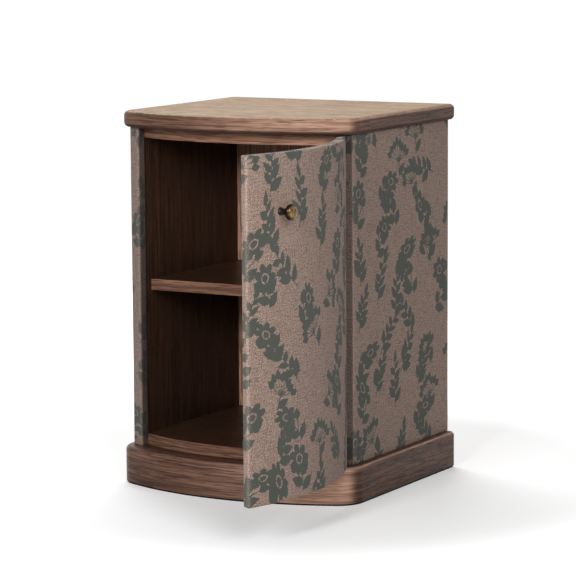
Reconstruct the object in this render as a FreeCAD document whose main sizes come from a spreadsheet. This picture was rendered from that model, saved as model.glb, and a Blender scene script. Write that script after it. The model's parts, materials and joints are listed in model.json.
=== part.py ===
import FreeCAD, Part
import math
import os
import Sketcher

# Storage side table: a bowed wooden top and plinth, cloth-covered sides, and a bowed cloth-covered
# door on pivot hinges. X runs to the right, the front looks along -Y, Z is up from the floor.
# The door is drawn closed and then turned about its hinge axis by the angle it stands open.
VALUES = {
    # overall
    "total_height": 610.0,
    "body_width": 406.0,
    "side_depth": 344.0,
    "bow_radius": 430.0,
    "cut_overrun": 20.0,
    # top slab
    "top_thickness": 26.0,
    "top_side_overhang": 11.0,
    "top_back_overhang": 5.5,
    "top_front_overhang": 17.0,
    "top_corner_radius": 40.0,
    "top_back_corner_radius": 9.0,
    "top_edge_radius": 8.0,
    # plinth
    "plinth_height": 61.0,
    "plinth_side_overhang": 13.5,
    "plinth_back_overhang": 1.5,
    "plinth_front_overhang": 22.0,
    "plinth_corner_radius": 44.0,
    "plinth_back_corner_radius": 9.0,
    "plinth_edge_radius": 7.0,
    "plinth_board": 18.0,
    "plinth_joint_setback": 30.0,
    "deck_thickness": 16.0,
    "deck_fit": 0.3,
    "block_width": 34.0,
    "base_sheet_thickness": 3.0,
    "base_sheet_inset": 2.0,
    # sides and carcass panels
    "side_thickness": 24.0,
    "fabric_thickness": 1.2,
    "panel_thickness": 18.0,
    "back_thickness": 10.0,
    "back_recess": 28.0,
    "back_groove": 5.0,
    "groove_fit": 0.2,
    # shelf
    "shelf_top": 333.0,
    "shelf_thickness": 18.0,
    "shelf_setback": 22.0,
    "shelf_gap": 0.5,
    "shelf_pin_diameter": 5.0,
    "shelf_pin_bore": 9.0,
    "shelf_pin_reach": 9.0,
    "shelf_pin_inset": 45.0,
    "shelf_pin_fit": 0.05,
    # door
    "door_thickness": 15.0,
    "lining_thickness": 2.4,
    "door_side_gap": 2.0,
    "door_end_gap": 2.5,
    "door_stop_gap": 1.0,
    "door_bevel_angle": 12.0,
    "door_open_angle": 94.0,
    # pivot hinges
    "hinge_axis_offset": 11.5,
    "hinge_axis_forward": 3.0,
    "hinge_pin_diameter": 4.0,
    "hinge_pin_fit": 0.05,
    "leaf_thickness": 2.0,
    "leaf_width": 8.0,
    "leaf_length": 62.0,
    "plate_thickness": 2.5,
    "plate_width": 11.0,
    "plate_length": 40.0,
    "plate_nose": 4.0,
    "mortise_fit": 0.2,
    "washer_diameter": 8.0,
    "washer_play": 0.1,
    "notch_margin": 2.5,
    "notch_drop": 0.7,
    # knob
    "knob_angle": 15.0,
    "knob_drop": 85.5,
    "knob_head_diameter": 24.0,
    "knob_head_thickness": 9.5,
    "knob_dome_radius": 8.0,
    "knob_back_radius": 1.0,
    "knob_stem_diameter": 12.5,
    "knob_stem_length": 18.5,
    "knob_stem_waist": 10.5,
    "knob_spigot_diameter": 6.0,
    "knob_spigot_length": 3.0,
    "knob_spigot_fit": 0.05,
    "knob_screw_diameter": 4.0,
    "knob_screw_head": 9.0,
    "knob_screw_head_thickness": 2.5,
    "knob_screw_bite": 11.0,
    # catch and strike
    "catch_angle": 6.0,
    "catch_width": 42.0,
    "catch_depth": 14.0,
    "catch_height": 12.0,
    "catch_gap": 0.6,
    "catch_screw_spacing": 30.0,
    "strike_width": 30.0,
    "strike_height": 10.0,
    "strike_thickness": 1.5,
    "strike_rise": 1.0,
    "strike_screw_length": 8.0,
    # screws
    "frame_screw_diameter": 4.5,
    "frame_screw_head": 9.0,
    "frame_screw_sink": 3.0,
    "frame_screw_length": 30.0,
    "frame_screw_inset": 50.0,
    "small_screw_diameter": 3.0,
    "small_screw_head": 5.6,
    "small_screw_sink": 1.4,
    "small_screw_length": 14.0,
    "screw_fit": 0.1,
}

# Shares of a hinge plate's and a door leaf's length at which their two screws sit.
plate_screw_shares = (0.45, 0.8)
leaf_screw_shares = (0.55, 0.88)
# Share of the height within which two places count as one.
match_share = 1e-9
# Share of a door leaf's length at which its middle line crosses the middle of the door's thickness.
leaf_aim_share = 0.85

doc = FreeCAD.newDocument("storage_side_table")
sheet = doc.addObject("Spreadsheet::Sheet", "dims")
for row, (alias, number) in enumerate(VALUES.items(), 1):
    sheet.set(f"A{row}", alias)
    sheet.set(f"B{row}", str(number))
    sheet.setAlias(f"B{row}", alias)
doc.recompute()

# Places worked out from the sheet, written as expressions.
HALF = "dims.body_width / 2"
BACK = "dims.side_depth / 2"
BOW_Y = "(sqrt(dims.bow_radius ^ 2 - (dims.body_width / 2) ^ 2) - dims.side_depth / 2)"
FAR_FRONT = f"({BOW_Y} - dims.bow_radius - dims.plinth_front_overhang - dims.cut_overrun)"
SLAB_UNDER = "(dims.total_height - dims.top_thickness)"
CEILING = f"({SLAB_UNDER} - dims.panel_thickness)"
FLOOR_TOP = "(dims.plinth_height + dims.panel_thickness)"
SIDE_INNER = "(dims.body_width / 2 - dims.side_thickness)"
CORE_INNER = f"({SIDE_INNER} + dims.fabric_thickness)"
CORE_OUTER = "(dims.body_width / 2 - dims.fabric_thickness)"
CORE_BACK = "(dims.side_depth / 2 - dims.fabric_thickness)"
DOOR_BACK_R = "(dims.bow_radius - dims.door_thickness)"
PANEL_FRONT_R = f"({DOOR_BACK_R} - dims.door_stop_gap)"
LINING_R = f"({DOOR_BACK_R} + dims.lining_thickness)"
CORE_FRONT_R = "(dims.bow_radius - dims.fabric_thickness)"
BACK_FRONT = "(dims.side_depth / 2 - dims.back_recess - dims.back_thickness)"
BACK_REAR = "(dims.side_depth / 2 - dims.back_recess)"
PLINTH_IN_X = "(dims.body_width / 2 + dims.plinth_side_overhang - dims.plinth_board)"
PLINTH_IN_Y = "(dims.side_depth / 2 + dims.plinth_back_overhang - dims.plinth_board)"
PLINTH_IN_R = "(dims.bow_radius + dims.plinth_front_overhang - dims.plinth_board)"
PLINTH_JOINT = "(dims.plinth_joint_setback - dims.side_depth / 2)"
DECK_UNDER = "(dims.plinth_height - dims.deck_thickness)"
SHELF_UNDER = "(dims.shelf_top - dims.shelf_thickness)"
SHELF_FRONT = "(dims.shelf_setback - dims.side_depth / 2)"
DOOR_HALF = f"({SIDE_INNER} - dims.door_side_gap)"
DOOR_END_ANGLE = f"asin({DOOR_HALF} / dims.bow_radius)"
DOOR_END_Y = f"({BOW_Y} - sqrt(dims.bow_radius ^ 2 - {DOOR_HALF} ^ 2))"
DOOR_LOW = "(dims.plinth_height + dims.door_end_gap)"
DOOR_HIGH = f"({SLAB_UNDER} - dims.door_end_gap)"
AXIS_X = f"({SIDE_INNER} + dims.hinge_axis_offset)"
AXIS_Y = "(-dims.side_depth / 2 - dims.hinge_axis_forward)"
WASHER = "(dims.door_end_gap - dims.leaf_thickness - dims.washer_play)"
LEAF_AIM = f"(dims.leaf_length * {leaf_aim_share})"
LEAF_AIM_X = f"({AXIS_X} - {LEAF_AIM})"
MIDDLE_R = "(dims.bow_radius - dims.door_thickness / 2)"
LEAF_AIM_Y = f"({BOW_Y} - sqrt({MIDDLE_R} ^ 2 - {LEAF_AIM_X} ^ 2))"
LEAF_TILT = f"atan(({AXIS_Y} - {LEAF_AIM_Y}) / {LEAF_AIM})"
NOTCH_REACH = "(dims.leaf_width / 2 + dims.notch_margin)"
CATCH_R = f"({DOOR_BACK_R} - dims.strike_thickness - dims.catch_gap)"
KNOB_TURN = "(-dims.knob_angle * 1 deg)"
KNOB_Z = f"({DOOR_HIGH} - dims.knob_drop)"
CATCH_TURN = "(dims.catch_angle * 1 deg)"
OPEN_TURN = "(dims.door_open_angle * 1 deg)"

nodes = []


def value(expression):
    """Number that an expression has now."""
    result = sheet.evalExpression(str(expression))
    return float(getattr(result, "Value", result))


def node(label, piece):
    """Keep a finished sub-part under the label that names its file."""
    piece.Label = label
    nodes.append(piece)
    return piece


def place(piece, x, y, z, turn=None, upside_down=False):
    """Bind a piece's base point, and its turn about Z where it has one."""
    if upside_down:
        piece.Placement.Rotation = FreeCAD.Rotation(FreeCAD.Vector(1, 0, 0), 180)
    piece.setExpression("Placement.Base.x", str(x))
    piece.setExpression("Placement.Base.y", str(y))
    piece.setExpression("Placement.Base.z", str(z))
    if turn is not None:
        piece.Placement.Rotation = FreeCAD.Rotation(FreeCAD.Vector(0, 0, 1), value(turn))
        piece.setExpression("Placement.Rotation.Angle", str(turn))


def box(label, x, y, z):
    """Box between pairs of bounds along each axis."""
    piece = doc.addObject("Part::Box", label)
    piece.setExpression("Length", f"{x[1]} - ({x[0]})")
    piece.setExpression("Width", f"{y[1]} - ({y[0]})")
    piece.setExpression("Height", f"{z[1]} - ({z[0]})")
    place(piece, x[0], y[0], z[0])
    return piece


def cylinder(label, radius, x, y, z):
    """Upright cylinder between two heights."""
    piece = doc.addObject("Part::Cylinder", label)
    piece.setExpression("Radius", str(radius))
    piece.setExpression("Height", f"{z[1]} - ({z[0]})")
    place(piece, x, y, z[0])
    return piece


def drum(label, radius, z):
    """Cylinder about the axis that the front's bow is struck from."""
    return cylinder(label, radius, 0, BOW_Y, z)


def boolean(kind, label, base, tool):
    piece = doc.addObject(kind, label)
    piece.Base = base
    piece.Tool = tool
    return piece


def common(label, base, tool):
    return boolean("Part::Common", label, base, tool)


def cut(label, base, *tools):
    tool = tools[0] if len(tools) == 1 else group(label + "_tools", tools)
    return boolean("Part::Cut", label, base, tool)


def fuse(label, base, tool):
    return boolean("Part::Fuse", label, base, tool)


def group(label, pieces):
    piece = doc.addObject("Part::Compound", label)
    piece.Links = list(pieces)
    return piece


def on_door(label, *pieces):
    """Door pieces, drawn closed, turned about the hinge axis by the open angle."""
    piece = node(label, group(label, pieces))
    x = f"{AXIS_X} * (1 - cos({OPEN_TURN})) + {AXIS_Y} * sin({OPEN_TURN})"
    y = f"{AXIS_Y} * (1 - cos({OPEN_TURN})) - {AXIS_X} * sin({OPEN_TURN})"
    place(piece, x, y, 0, OPEN_TURN)
    return piece


def mirrored(side, near, far):
    """Bounds along X of a piece on the right (side 1) or its mirror image on the left (side -1)."""
    return (near, far) if side > 0 else (f"-({far})", f"-({near})")


def body(label):
    return doc.addObject("PartDesign::Body", label)


def sketch_on(owner, label, role):
    sketch = owner.newObject("Sketcher::SketchObject", label)
    plane = [feature for feature in owner.Origin.OriginFeatures if feature.Role == role][0]
    sketch.AttachmentSupport = (plane, [""])
    sketch.MapMode = "FlatFace"
    return sketch


def bind(sketch, name, constraint, expression):
    index = sketch.addConstraint(constraint)
    sketch.renameConstraint(index, name)
    sketch.setExpression(f"Constraints.{name}", str(expression))


def bow_sketch(owner, label, half, back, radius):
    """Plan outline: straight back and sides, closed in front by an arc about the bow axis."""
    sketch = sketch_on(owner, label, "XY_Plane")
    centre = FreeCAD.Vector(0, value(BOW_Y), 0)
    side, rear, reach = value(half), value(back), value(radius)
    front = centre.y - math.sqrt(reach ** 2 - side ** 2)
    opening = math.asin(side / reach)
    plan = ((-side, rear), (side, rear), (side, front), (-side, front))
    corners = [FreeCAD.Vector(x, y, 0) for x, y in plan]
    arc = Part.Circle(centre, FreeCAD.Vector(0, 0, 1), reach)
    sketch.addGeometry(Part.LineSegment(corners[0], corners[1]))
    sketch.addGeometry(Part.LineSegment(corners[1], corners[2]))
    sketch.addGeometry(Part.ArcOfCircle(arc, -math.pi / 2 - opening, -math.pi / 2 + opening))
    sketch.addGeometry(Part.LineSegment(corners[3], corners[0]))
    for first, second in (((0, 2), (1, 1)), ((1, 2), (2, 2)), ((2, 1), (3, 1)), ((3, 2), (0, 1))):
        sketch.addConstraint(Sketcher.Constraint("Coincident", *first, *second))
    sketch.addConstraint(Sketcher.Constraint("Horizontal", 0))
    sketch.addConstraint(Sketcher.Constraint("Vertical", 1))
    sketch.addConstraint(Sketcher.Constraint("Vertical", 3))
    sketch.addConstraint(Sketcher.Constraint("PointOnObject", 2, 3, -2))
    bind(sketch, "right", Sketcher.Constraint("DistanceX", -1, 1, 0, 2, side), half)
    bind(sketch, "left", Sketcher.Constraint("DistanceX", 0, 1, -1, 1, side), half)
    bind(sketch, "back", Sketcher.Constraint("DistanceY", -1, 1, 0, 1, rear), back)
    bind(sketch, "bow", Sketcher.Constraint("Radius", 2, reach), radius)
    bind(sketch, "centre", Sketcher.Constraint("DistanceY", -1, 1, 2, 3, centre.y), BOW_Y)
    return sketch


def pad(owner, label, sketch, length):
    feature = owner.newObject("PartDesign::Pad", label)
    feature.Profile = sketch
    feature.setExpression("Length", str(length))
    doc.recompute()
    return feature


def rounded(owner, label, radius, wanted):
    """Round the edges of a body that the test picks."""
    doc.recompute()
    base = owner.Tip
    names = [f"Edge{index}" for index, edge in enumerate(base.Shape.Edges, 1) if wanted(edge)]
    feature = owner.newObject("PartDesign::Fillet", label)
    feature.Base = (base, names)
    feature.setExpression("Radius", str(radius))
    doc.recompute()


def same(first, second):
    """Whether two places agree, to a small share of the whole height."""
    return abs(first - second) < match_share * value("dims.total_height")


def upright(edge):
    extent = edge.BoundBox
    return extent.ZLength > extent.XLength + extent.YLength


def front_corner(edge):
    return upright(edge) and edge.BoundBox.YMax < 0


def back_corner(edge):
    return upright(edge) and edge.BoundBox.YMin > 0


def at_height(edge, height):
    return same(edge.BoundBox.ZMin, height) and same(edge.BoundBox.ZMax, height)


def turned(owner, label, profile):
    """Body of revolution about its own Y axis, from (radius, place along Y) corners."""
    sketch = sketch_on(owner, label + "_profile", "XY_Plane")
    points = [FreeCAD.Vector(value(radius), value(along), 0) for radius, along in profile]
    count = len(points)
    for index in range(count):
        sketch.addGeometry(Part.LineSegment(points[index], points[(index + 1) % count]))
    for index, (radius, along) in enumerate(profile):
        sketch.addConstraint(Sketcher.Constraint("Coincident", index, 1, (index - 1) % count, 2))
        if radius == 0:
            sketch.addConstraint(Sketcher.Constraint("PointOnObject", index, 1, -2))
        else:
            across = Sketcher.Constraint("DistanceX", -1, 1, index, 1, points[index].x)
            bind(sketch, f"radius{index}", across, radius)
        if along == 0:
            sketch.addConstraint(Sketcher.Constraint("PointOnObject", index, 1, -1))
        else:
            lengthways = Sketcher.Constraint("DistanceY", -1, 1, index, 1, points[index].y)
            bind(sketch, f"along{index}", lengthways, along)
    feature = owner.newObject("PartDesign::Revolution", label + "_turn")
    feature.Profile = sketch
    feature.ReferenceAxis = (sketch, ["V_Axis"])
    feature.Angle = 360
    doc.recompute()


def on_bow(radius, turn):
    """Plan place at a radius from the bow axis, turned from the middle of the front."""
    return f"{radius} * sin({turn})", f"{BOW_Y} - {radius} * cos({turn})"


def screw(label, kind, x, y, z, down=False, fit="0"):
    """Countersunk screw whose head is flush at height z, or with a fit, the hole that takes it."""
    head = doc.addObject("Part::Cone", label + "_head")
    head.setExpression("Radius1", f"dims.{kind}_screw_head / 2 + {fit}")
    head.setExpression("Radius2", f"dims.{kind}_screw_diameter / 2 + {fit}")
    head.setExpression("Height", f"dims.{kind}_screw_sink")
    shank = doc.addObject("Part::Cylinder", label + "_shank")
    shank.setExpression("Radius", f"dims.{kind}_screw_diameter / 2 + {fit}")
    shank.setExpression("Height", f"dims.{kind}_screw_length + {fit}")
    place(head, x, y, z, upside_down=down)
    place(shank, x, y, z, upside_down=down)
    return fuse(label, head, shank)


def screws_and_holes(label, kind, places, z, down=False):
    """Screws at several plan places, and the holes that take them."""
    screws = []
    holes = []
    for i, (x, y) in enumerate(places):
        screws.append(screw(f"{label}_{i}", kind, x, y, z, down))
        holes.append(screw(f"{label}_hole_{i}", kind, x, y, z, down, "dims.screw_fit"))
    return screws, holes


# Screw places
FIX_X = f"({CORE_INNER} - dims.frame_screw_inset)"
FIX_FRONT = "(dims.frame_screw_inset - dims.side_depth / 2)"
FIX_BACK = f"({BACK_FRONT} - dims.frame_screw_inset)"
fixing_places = [(x, y) for x in (FIX_X, f"-{FIX_X}") for y in (FIX_FRONT, FIX_BACK)]
top_screws, top_holes = screws_and_holes("top_screw", "frame", fixing_places, CEILING)
deck_screws, deck_holes = screws_and_holes("deck_screw", "frame", fixing_places, DECK_UNDER)

plate_places = [
    (AXIS_X, f"{AXIS_Y} - dims.plate_nose + dims.plate_length * {share}") for share in plate_screw_shares
]
upper_plate_screws, upper_plate_holes = screws_and_holes(
    "upper_plate_screw", "small", plate_places, SLAB_UNDER
)
lower_plate_screws, lower_plate_holes = screws_and_holes(
    "lower_plate_screw", "small", plate_places, "dims.plinth_height", down=True
)

leaf_places = [
    (
        f"{AXIS_X} - dims.leaf_length * {share} * cos({LEAF_TILT})",
        f"{AXIS_Y} - dims.leaf_length * {share} * sin({LEAF_TILT})",
    )
    for share in leaf_screw_shares
]
LEAF_TOP = f"({DOOR_HIGH} + dims.leaf_thickness)"
LEAF_BOTTOM = f"({DOOR_LOW} - dims.leaf_thickness)"
upper_leaf_screws, upper_leaf_holes = screws_and_holes(
    "upper_leaf_screw", "small", leaf_places, LEAF_TOP, down=True
)
lower_leaf_screws, lower_leaf_holes = screws_and_holes(
    "lower_leaf_screw", "small", leaf_places, LEAF_BOTTOM
)

catch_middle_x, catch_middle_y = on_bow(f"({CATCH_R} - dims.catch_depth / 2)", CATCH_TURN)
CATCH_SIDESTEP = "dims.catch_screw_spacing / 2"
catch_places = [
    (
        f"{catch_middle_x} + {sign} * {CATCH_SIDESTEP} * cos({CATCH_TURN})",
        f"{catch_middle_y} + {sign} * {CATCH_SIDESTEP} * sin({CATCH_TURN})",
    )
    for sign in (-1, 1)
]
CATCH_TOP = f"({FLOOR_TOP} + dims.catch_height)"
catch_screws, catch_holes = screws_and_holes(
    "catch_screw", "small", catch_places, CATCH_TOP, down=True
)

# Hinge plates let into the slab and the deck, with the pins that the door turns on
PIN_HOLE = "dims.hinge_pin_diameter / 2 + dims.hinge_pin_fit"
upper_plate_z = (SLAB_UNDER, f"{SLAB_UNDER} + dims.plate_thickness")
lower_plate_z = ("(dims.plinth_height - dims.plate_thickness)", "dims.plinth_height")


def hinge_plate(label, z, fit="0"):
    """Plate along the side panel, its nose just in front of the pin."""
    front = f"({AXIS_Y} - dims.plate_nose)"
    return box(
        label,
        (f"({AXIS_X} - dims.plate_width / 2 - {fit})", f"({AXIS_X} + dims.plate_width / 2 + {fit})"),
        (f"({front} - {fit})", f"({front} + dims.plate_length + {fit})"),
        z,
    )


upper_blank = hinge_plate("upper_plate_blank", upper_plate_z)
upper_bore = cylinder("upper_plate_bore", PIN_HOLE, AXIS_X, AXIS_Y, upper_plate_z)
node("upper_hinge_plate", cut("upper_hinge_plate", upper_blank, upper_bore, *upper_plate_holes))
lower_blank = hinge_plate("lower_plate_blank", lower_plate_z)
lower_bore = cylinder("lower_plate_bore", PIN_HOLE, AXIS_X, AXIS_Y, lower_plate_z)
node("lower_hinge_plate", cut("lower_hinge_plate", lower_blank, lower_bore, *lower_plate_holes))

upper_pin_z = (DOOR_HIGH, upper_plate_z[1])
lower_pin_z = (lower_plate_z[0], DOOR_LOW)
PIN_RADIUS = "dims.hinge_pin_diameter / 2"
node("upper_hinge_pin", cylinder("upper_hinge_pin", PIN_RADIUS, AXIS_X, AXIS_Y, upper_pin_z))
node("lower_hinge_pin", cylinder("lower_hinge_pin", PIN_RADIUS, AXIS_X, AXIS_Y, lower_pin_z))
washers = []
for label, z in (
    ("upper_washer", (f"({SLAB_UNDER} - {WASHER})", SLAB_UNDER)),
    ("lower_washer", ("dims.plinth_height", f"dims.plinth_height + {WASHER}")),
):
    disc = cylinder(label + "_disc", "dims.washer_diameter / 2", AXIS_X, AXIS_Y, z)
    washers.append(cut(label, disc, cylinder(label + "_bore", PIN_HOLE, AXIS_X, AXIS_Y, z)))
node("hinge_washers", group("hinge_washers", washers))
node("hinge_plate_screws", group("hinge_plate_screws", upper_plate_screws + lower_plate_screws))

# Top slab: bowed outline, rounded corners, and both rims rounded over
slab = body("slab_body")
slab_half = f"({HALF} + dims.top_side_overhang)"
slab_back = f"({BACK} + dims.top_back_overhang)"
pad(
    slab,
    "slab_pad",
    bow_sketch(slab, "slab_outline", slab_half, slab_back, "dims.bow_radius + dims.top_front_overhang"),
    "dims.top_thickness",
)
rounded(slab, "slab_front_corners", "dims.top_corner_radius", front_corner)
rounded(slab, "slab_back_corners", "dims.top_back_corner_radius", back_corner)
rounded(
    slab,
    "slab_rims",
    "dims.top_edge_radius",
    lambda edge: at_height(edge, 0) or at_height(edge, value("dims.top_thickness")),
)
place(slab, 0, 0, SLAB_UNDER)
upper_mortise = hinge_plate("upper_mortise", upper_plate_z, "dims.mortise_fit")
node("top_slab", cut("top_slab", slab, upper_mortise, *top_holes, *upper_plate_holes))

# Plinth: one bowed ring, rounded like the top, sawn into four boards
ring = body("ring_body")
ring_half = f"({HALF} + dims.plinth_side_overhang)"
ring_back = f"({BACK} + dims.plinth_back_overhang)"
ring_rise = "(dims.plinth_height - dims.base_sheet_thickness)"
pad(
    ring,
    "ring_pad",
    bow_sketch(ring, "ring_outline", ring_half, ring_back, "dims.bow_radius + dims.plinth_front_overhang"),
    ring_rise,
)
rounded(ring, "ring_front_corners", "dims.plinth_corner_radius", front_corner)
rounded(ring, "ring_back_corners", "dims.plinth_back_corner_radius", back_corner)
rounded(ring, "ring_rim", "dims.plinth_edge_radius", lambda edge: at_height(edge, value(ring_rise)))
place(ring, 0, 0, "dims.base_sheet_thickness")
plinth_z = ("dims.base_sheet_thickness", "dims.plinth_height")
inside_box = box("plinth_inside_box", (f"-{PLINTH_IN_X}", PLINTH_IN_X), (FAR_FRONT, PLINTH_IN_Y), plinth_z)
inside = common("plinth_inside", inside_box, drum("plinth_inside_bow", PLINTH_IN_R, plinth_z))
hollow_ring = cut("plinth_ring", ring, inside)
past_x = f"({ring_half} + dims.cut_overrun)"
past_y = f"({ring_back} + dims.cut_overrun)"
plinth_spans = {
    "plinth_front": ((f"-{past_x}", past_x), (FAR_FRONT, PLINTH_JOINT)),
    "plinth_left": ((f"-{past_x}", f"-{PLINTH_IN_X}"), (PLINTH_JOINT, past_y)),
    "plinth_right": ((PLINTH_IN_X, past_x), (PLINTH_JOINT, past_y)),
    "plinth_back": ((f"-{PLINTH_IN_X}", PLINTH_IN_X), ("0", past_y)),
}
for label, (span_x, span_y) in plinth_spans.items():
    node(label, common(label, hollow_ring, box(label + "_span", span_x, span_y, plinth_z)))

deck_z = (DECK_UNDER, "dims.plinth_height")
deck_half = f"({PLINTH_IN_X} - dims.deck_fit)"
deck_y = (FAR_FRONT, f"{PLINTH_IN_Y} - dims.deck_fit")
deck_box = box("deck_box", (f"-{deck_half}", deck_half), deck_y, deck_z)
deck_blank = common("deck_blank", deck_box, drum("deck_bow", f"{PLINTH_IN_R} - dims.deck_fit", deck_z))
lower_mortise = hinge_plate("lower_mortise", lower_plate_z, "dims.mortise_fit")
node("plinth_deck", cut("plinth_deck", deck_blank, lower_mortise, *deck_holes, *lower_plate_holes))

block_z = ("dims.base_sheet_thickness", DECK_UNDER)
block_bow = drum("block_bow", f"{PLINTH_IN_R} - dims.deck_fit", block_z)
blocks = []
for side, name in ((1, "right"), (-1, "left")):
    block_x = mirrored(side, f"({PLINTH_IN_X} - dims.block_width)", PLINTH_IN_X)
    rear_y = (f"({PLINTH_IN_Y} - dims.block_width)", PLINTH_IN_Y)
    front_y = (FAR_FRONT, f"(dims.block_width - {BACK})")
    front_box = box(f"{name}_front_block_box", block_x, front_y, block_z)
    blocks.append(common(f"{name}_front_block", front_box, block_bow))
    blocks.append(box(f"{name}_rear_block", block_x, rear_y, block_z))
node("corner_blocks", group("corner_blocks", blocks))

# Base sheet: the plinth's outline drawn in a little, flat on the floor
sheet = body("sheet_body")
sheet_half = f"({ring_half} - dims.base_sheet_inset)"
sheet_back = f"({ring_back} - dims.base_sheet_inset)"
sheet_reach = "dims.bow_radius + dims.plinth_front_overhang - dims.base_sheet_inset"
sheet_outline = bow_sketch(sheet, "sheet_outline", sheet_half, sheet_back, sheet_reach)
pad(sheet, "sheet_pad", sheet_outline, "dims.base_sheet_thickness")
rounded(sheet, "sheet_front_corners", "dims.plinth_corner_radius - dims.base_sheet_inset", front_corner)
rounded(sheet, "sheet_back_corners", "dims.plinth_back_corner_radius - dims.base_sheet_inset", back_corner)
node("base_sheet", sheet)

# Sides: a bowed-front core, wrapped in cloth outside, in front, behind and a little way inside
side_z = ("dims.plinth_height", SLAB_UNDER)
groove_y = (f"({BACK_FRONT} - dims.groove_fit)", f"({BACK_REAR} + dims.groove_fit)")
PIN_Z = f"({SHELF_UNDER} - dims.shelf_pin_diameter / 2)"
pin_rows = (f"({SHELF_FRONT} + dims.shelf_pin_inset)", f"({BACK_FRONT} - dims.shelf_pin_inset)")


def shelf_pin(label, side, y, fit="0"):
    """Pin across the side's inner face, or with a fit, the bore that takes it."""
    pin = doc.addObject("Part::Cylinder", label)
    pin.setExpression("Radius", f"dims.shelf_pin_diameter / 2 + {fit}")
    pin.setExpression("Height", "dims.shelf_pin_bore + dims.shelf_pin_reach")
    pin.Placement.Rotation = FreeCAD.Rotation(FreeCAD.Vector(0, 1, 0), 90 * side)
    inner_end = f"({CORE_INNER} - dims.shelf_pin_reach)"
    place(pin, inner_end if side > 0 else f"-{inner_end}", y, PIN_Z)
    return pin


def notches():
    """Clearance at both ends of the right side, where the door leaves swing."""
    x = (f"({SIDE_INNER} - dims.cut_overrun)", f"({AXIS_X} + {NOTCH_REACH})")
    y = (FAR_FRONT, f"({AXIS_Y} + {NOTCH_REACH})")
    rise = "(dims.door_end_gap + dims.notch_drop)"
    low = box("lower_notch", x, y, ("dims.plinth_height", f"(dims.plinth_height + {rise})"))
    high = box("upper_notch", x, y, (f"({SLAB_UNDER} - {rise})", SLAB_UNDER))
    return [low, high]


pins = []
for side, name in ((-1, "left"), (1, "right")):
    wrap_x = mirrored(side, SIDE_INNER, HALF)
    core_x = mirrored(side, CORE_INNER, CORE_OUTER)
    return_x = mirrored(side, SIDE_INNER, CORE_INNER)
    core_box = box(f"{name}_core_box", core_x, (FAR_FRONT, CORE_BACK), side_z)
    core_blank = common(f"{name}_core_blank", core_box, drum(f"{name}_core_bow", CORE_FRONT_R, side_z))
    wrap_box = box(f"{name}_wrap_box", wrap_x, (FAR_FRONT, BACK), side_z)
    wrap_blank = common(f"{name}_wrap_blank", wrap_box, drum(f"{name}_wrap_bow", "dims.bow_radius", side_z))
    bare_box = box(f"{name}_bare_box", return_x, (FAR_FRONT, BACK), side_z)
    bare = common(f"{name}_bare", bare_box, drum(f"{name}_bare_bow", DOOR_BACK_R, side_z))
    groove_x = mirrored(side, CORE_INNER, f"({CORE_INNER} + dims.back_groove)")
    groove = box(f"{name}_groove", groove_x, groove_y, side_z)
    bores = [shelf_pin(f"{name}_bore_{i}", side, y, "dims.shelf_pin_fit") for i, y in enumerate(pin_rows)]
    pins += [shelf_pin(f"{name}_pin_{i}", side, y) for i, y in enumerate(pin_rows)]
    relief = notches() if side > 0 else []
    node(f"{name}_side_core", cut(f"{name}_side_core", core_blank, groove, *bores, *relief))
    node(f"{name}_side_fabric", cut(f"{name}_side_fabric", wrap_blank, core_blank, bare, *relief))
node("shelf_pins", group("shelf_pins", pins))

# Carcass panels between the sides
inside_x = (f"-{CORE_INNER}", CORE_INNER)


def bowed_panel(label, z):
    """Panel between the sides whose front stops just behind the closed door."""
    blank = box(label + "_box", inside_x, (FAR_FRONT, CORE_BACK), z)
    return common(label + "_blank", blank, drum(label + "_bow", PANEL_FRONT_R, z))


ceiling_z = (CEILING, SLAB_UNDER)
floor_z = ("dims.plinth_height", FLOOR_TOP)
node("carcass_top", cut("carcass_top", bowed_panel("top", ceiling_z), *top_holes))
bottom_blank = bowed_panel("bottom", floor_z)
node("carcass_bottom", cut("carcass_bottom", bottom_blank, *deck_holes, *catch_holes))
back_half = f"({CORE_INNER} + dims.back_groove - dims.groove_fit)"
back_y = (BACK_FRONT, BACK_REAR)
node("back_panel", box("back_panel", (f"-{back_half}", back_half), back_y, (FLOOR_TOP, CEILING)))
shelf_half = f"({CORE_INNER} - dims.shelf_gap)"
shelf_y = (SHELF_FRONT, f"({BACK_FRONT} - dims.shelf_gap)")
node("shelf", box("shelf", (f"-{shelf_half}", shelf_half), shelf_y, (SHELF_UNDER, "dims.shelf_top")))
node("top_screws", group("top_screws", top_screws))
node("deck_screws", group("deck_screws", deck_screws))

# Magnetic catch on the floor of the cupboard
catch_x, catch_y = on_bow(CATCH_R, CATCH_TURN)
catch_blank = doc.addObject("Part::Box", "catch_blank")
catch_blank.setExpression("Length", "dims.catch_width")
catch_blank.setExpression("Width", "dims.catch_depth")
catch_blank.setExpression("Height", "dims.catch_height")
place(
    catch_blank,
    f"{catch_x} - dims.catch_width / 2 * cos({CATCH_TURN})",
    f"{catch_y} - dims.catch_width / 2 * sin({CATCH_TURN})",
    FLOOR_TOP,
    CATCH_TURN,
)
node("catch_body", cut("catch_body", catch_blank, *catch_holes))
node("catch_screws", group("catch_screws", catch_screws))


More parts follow.
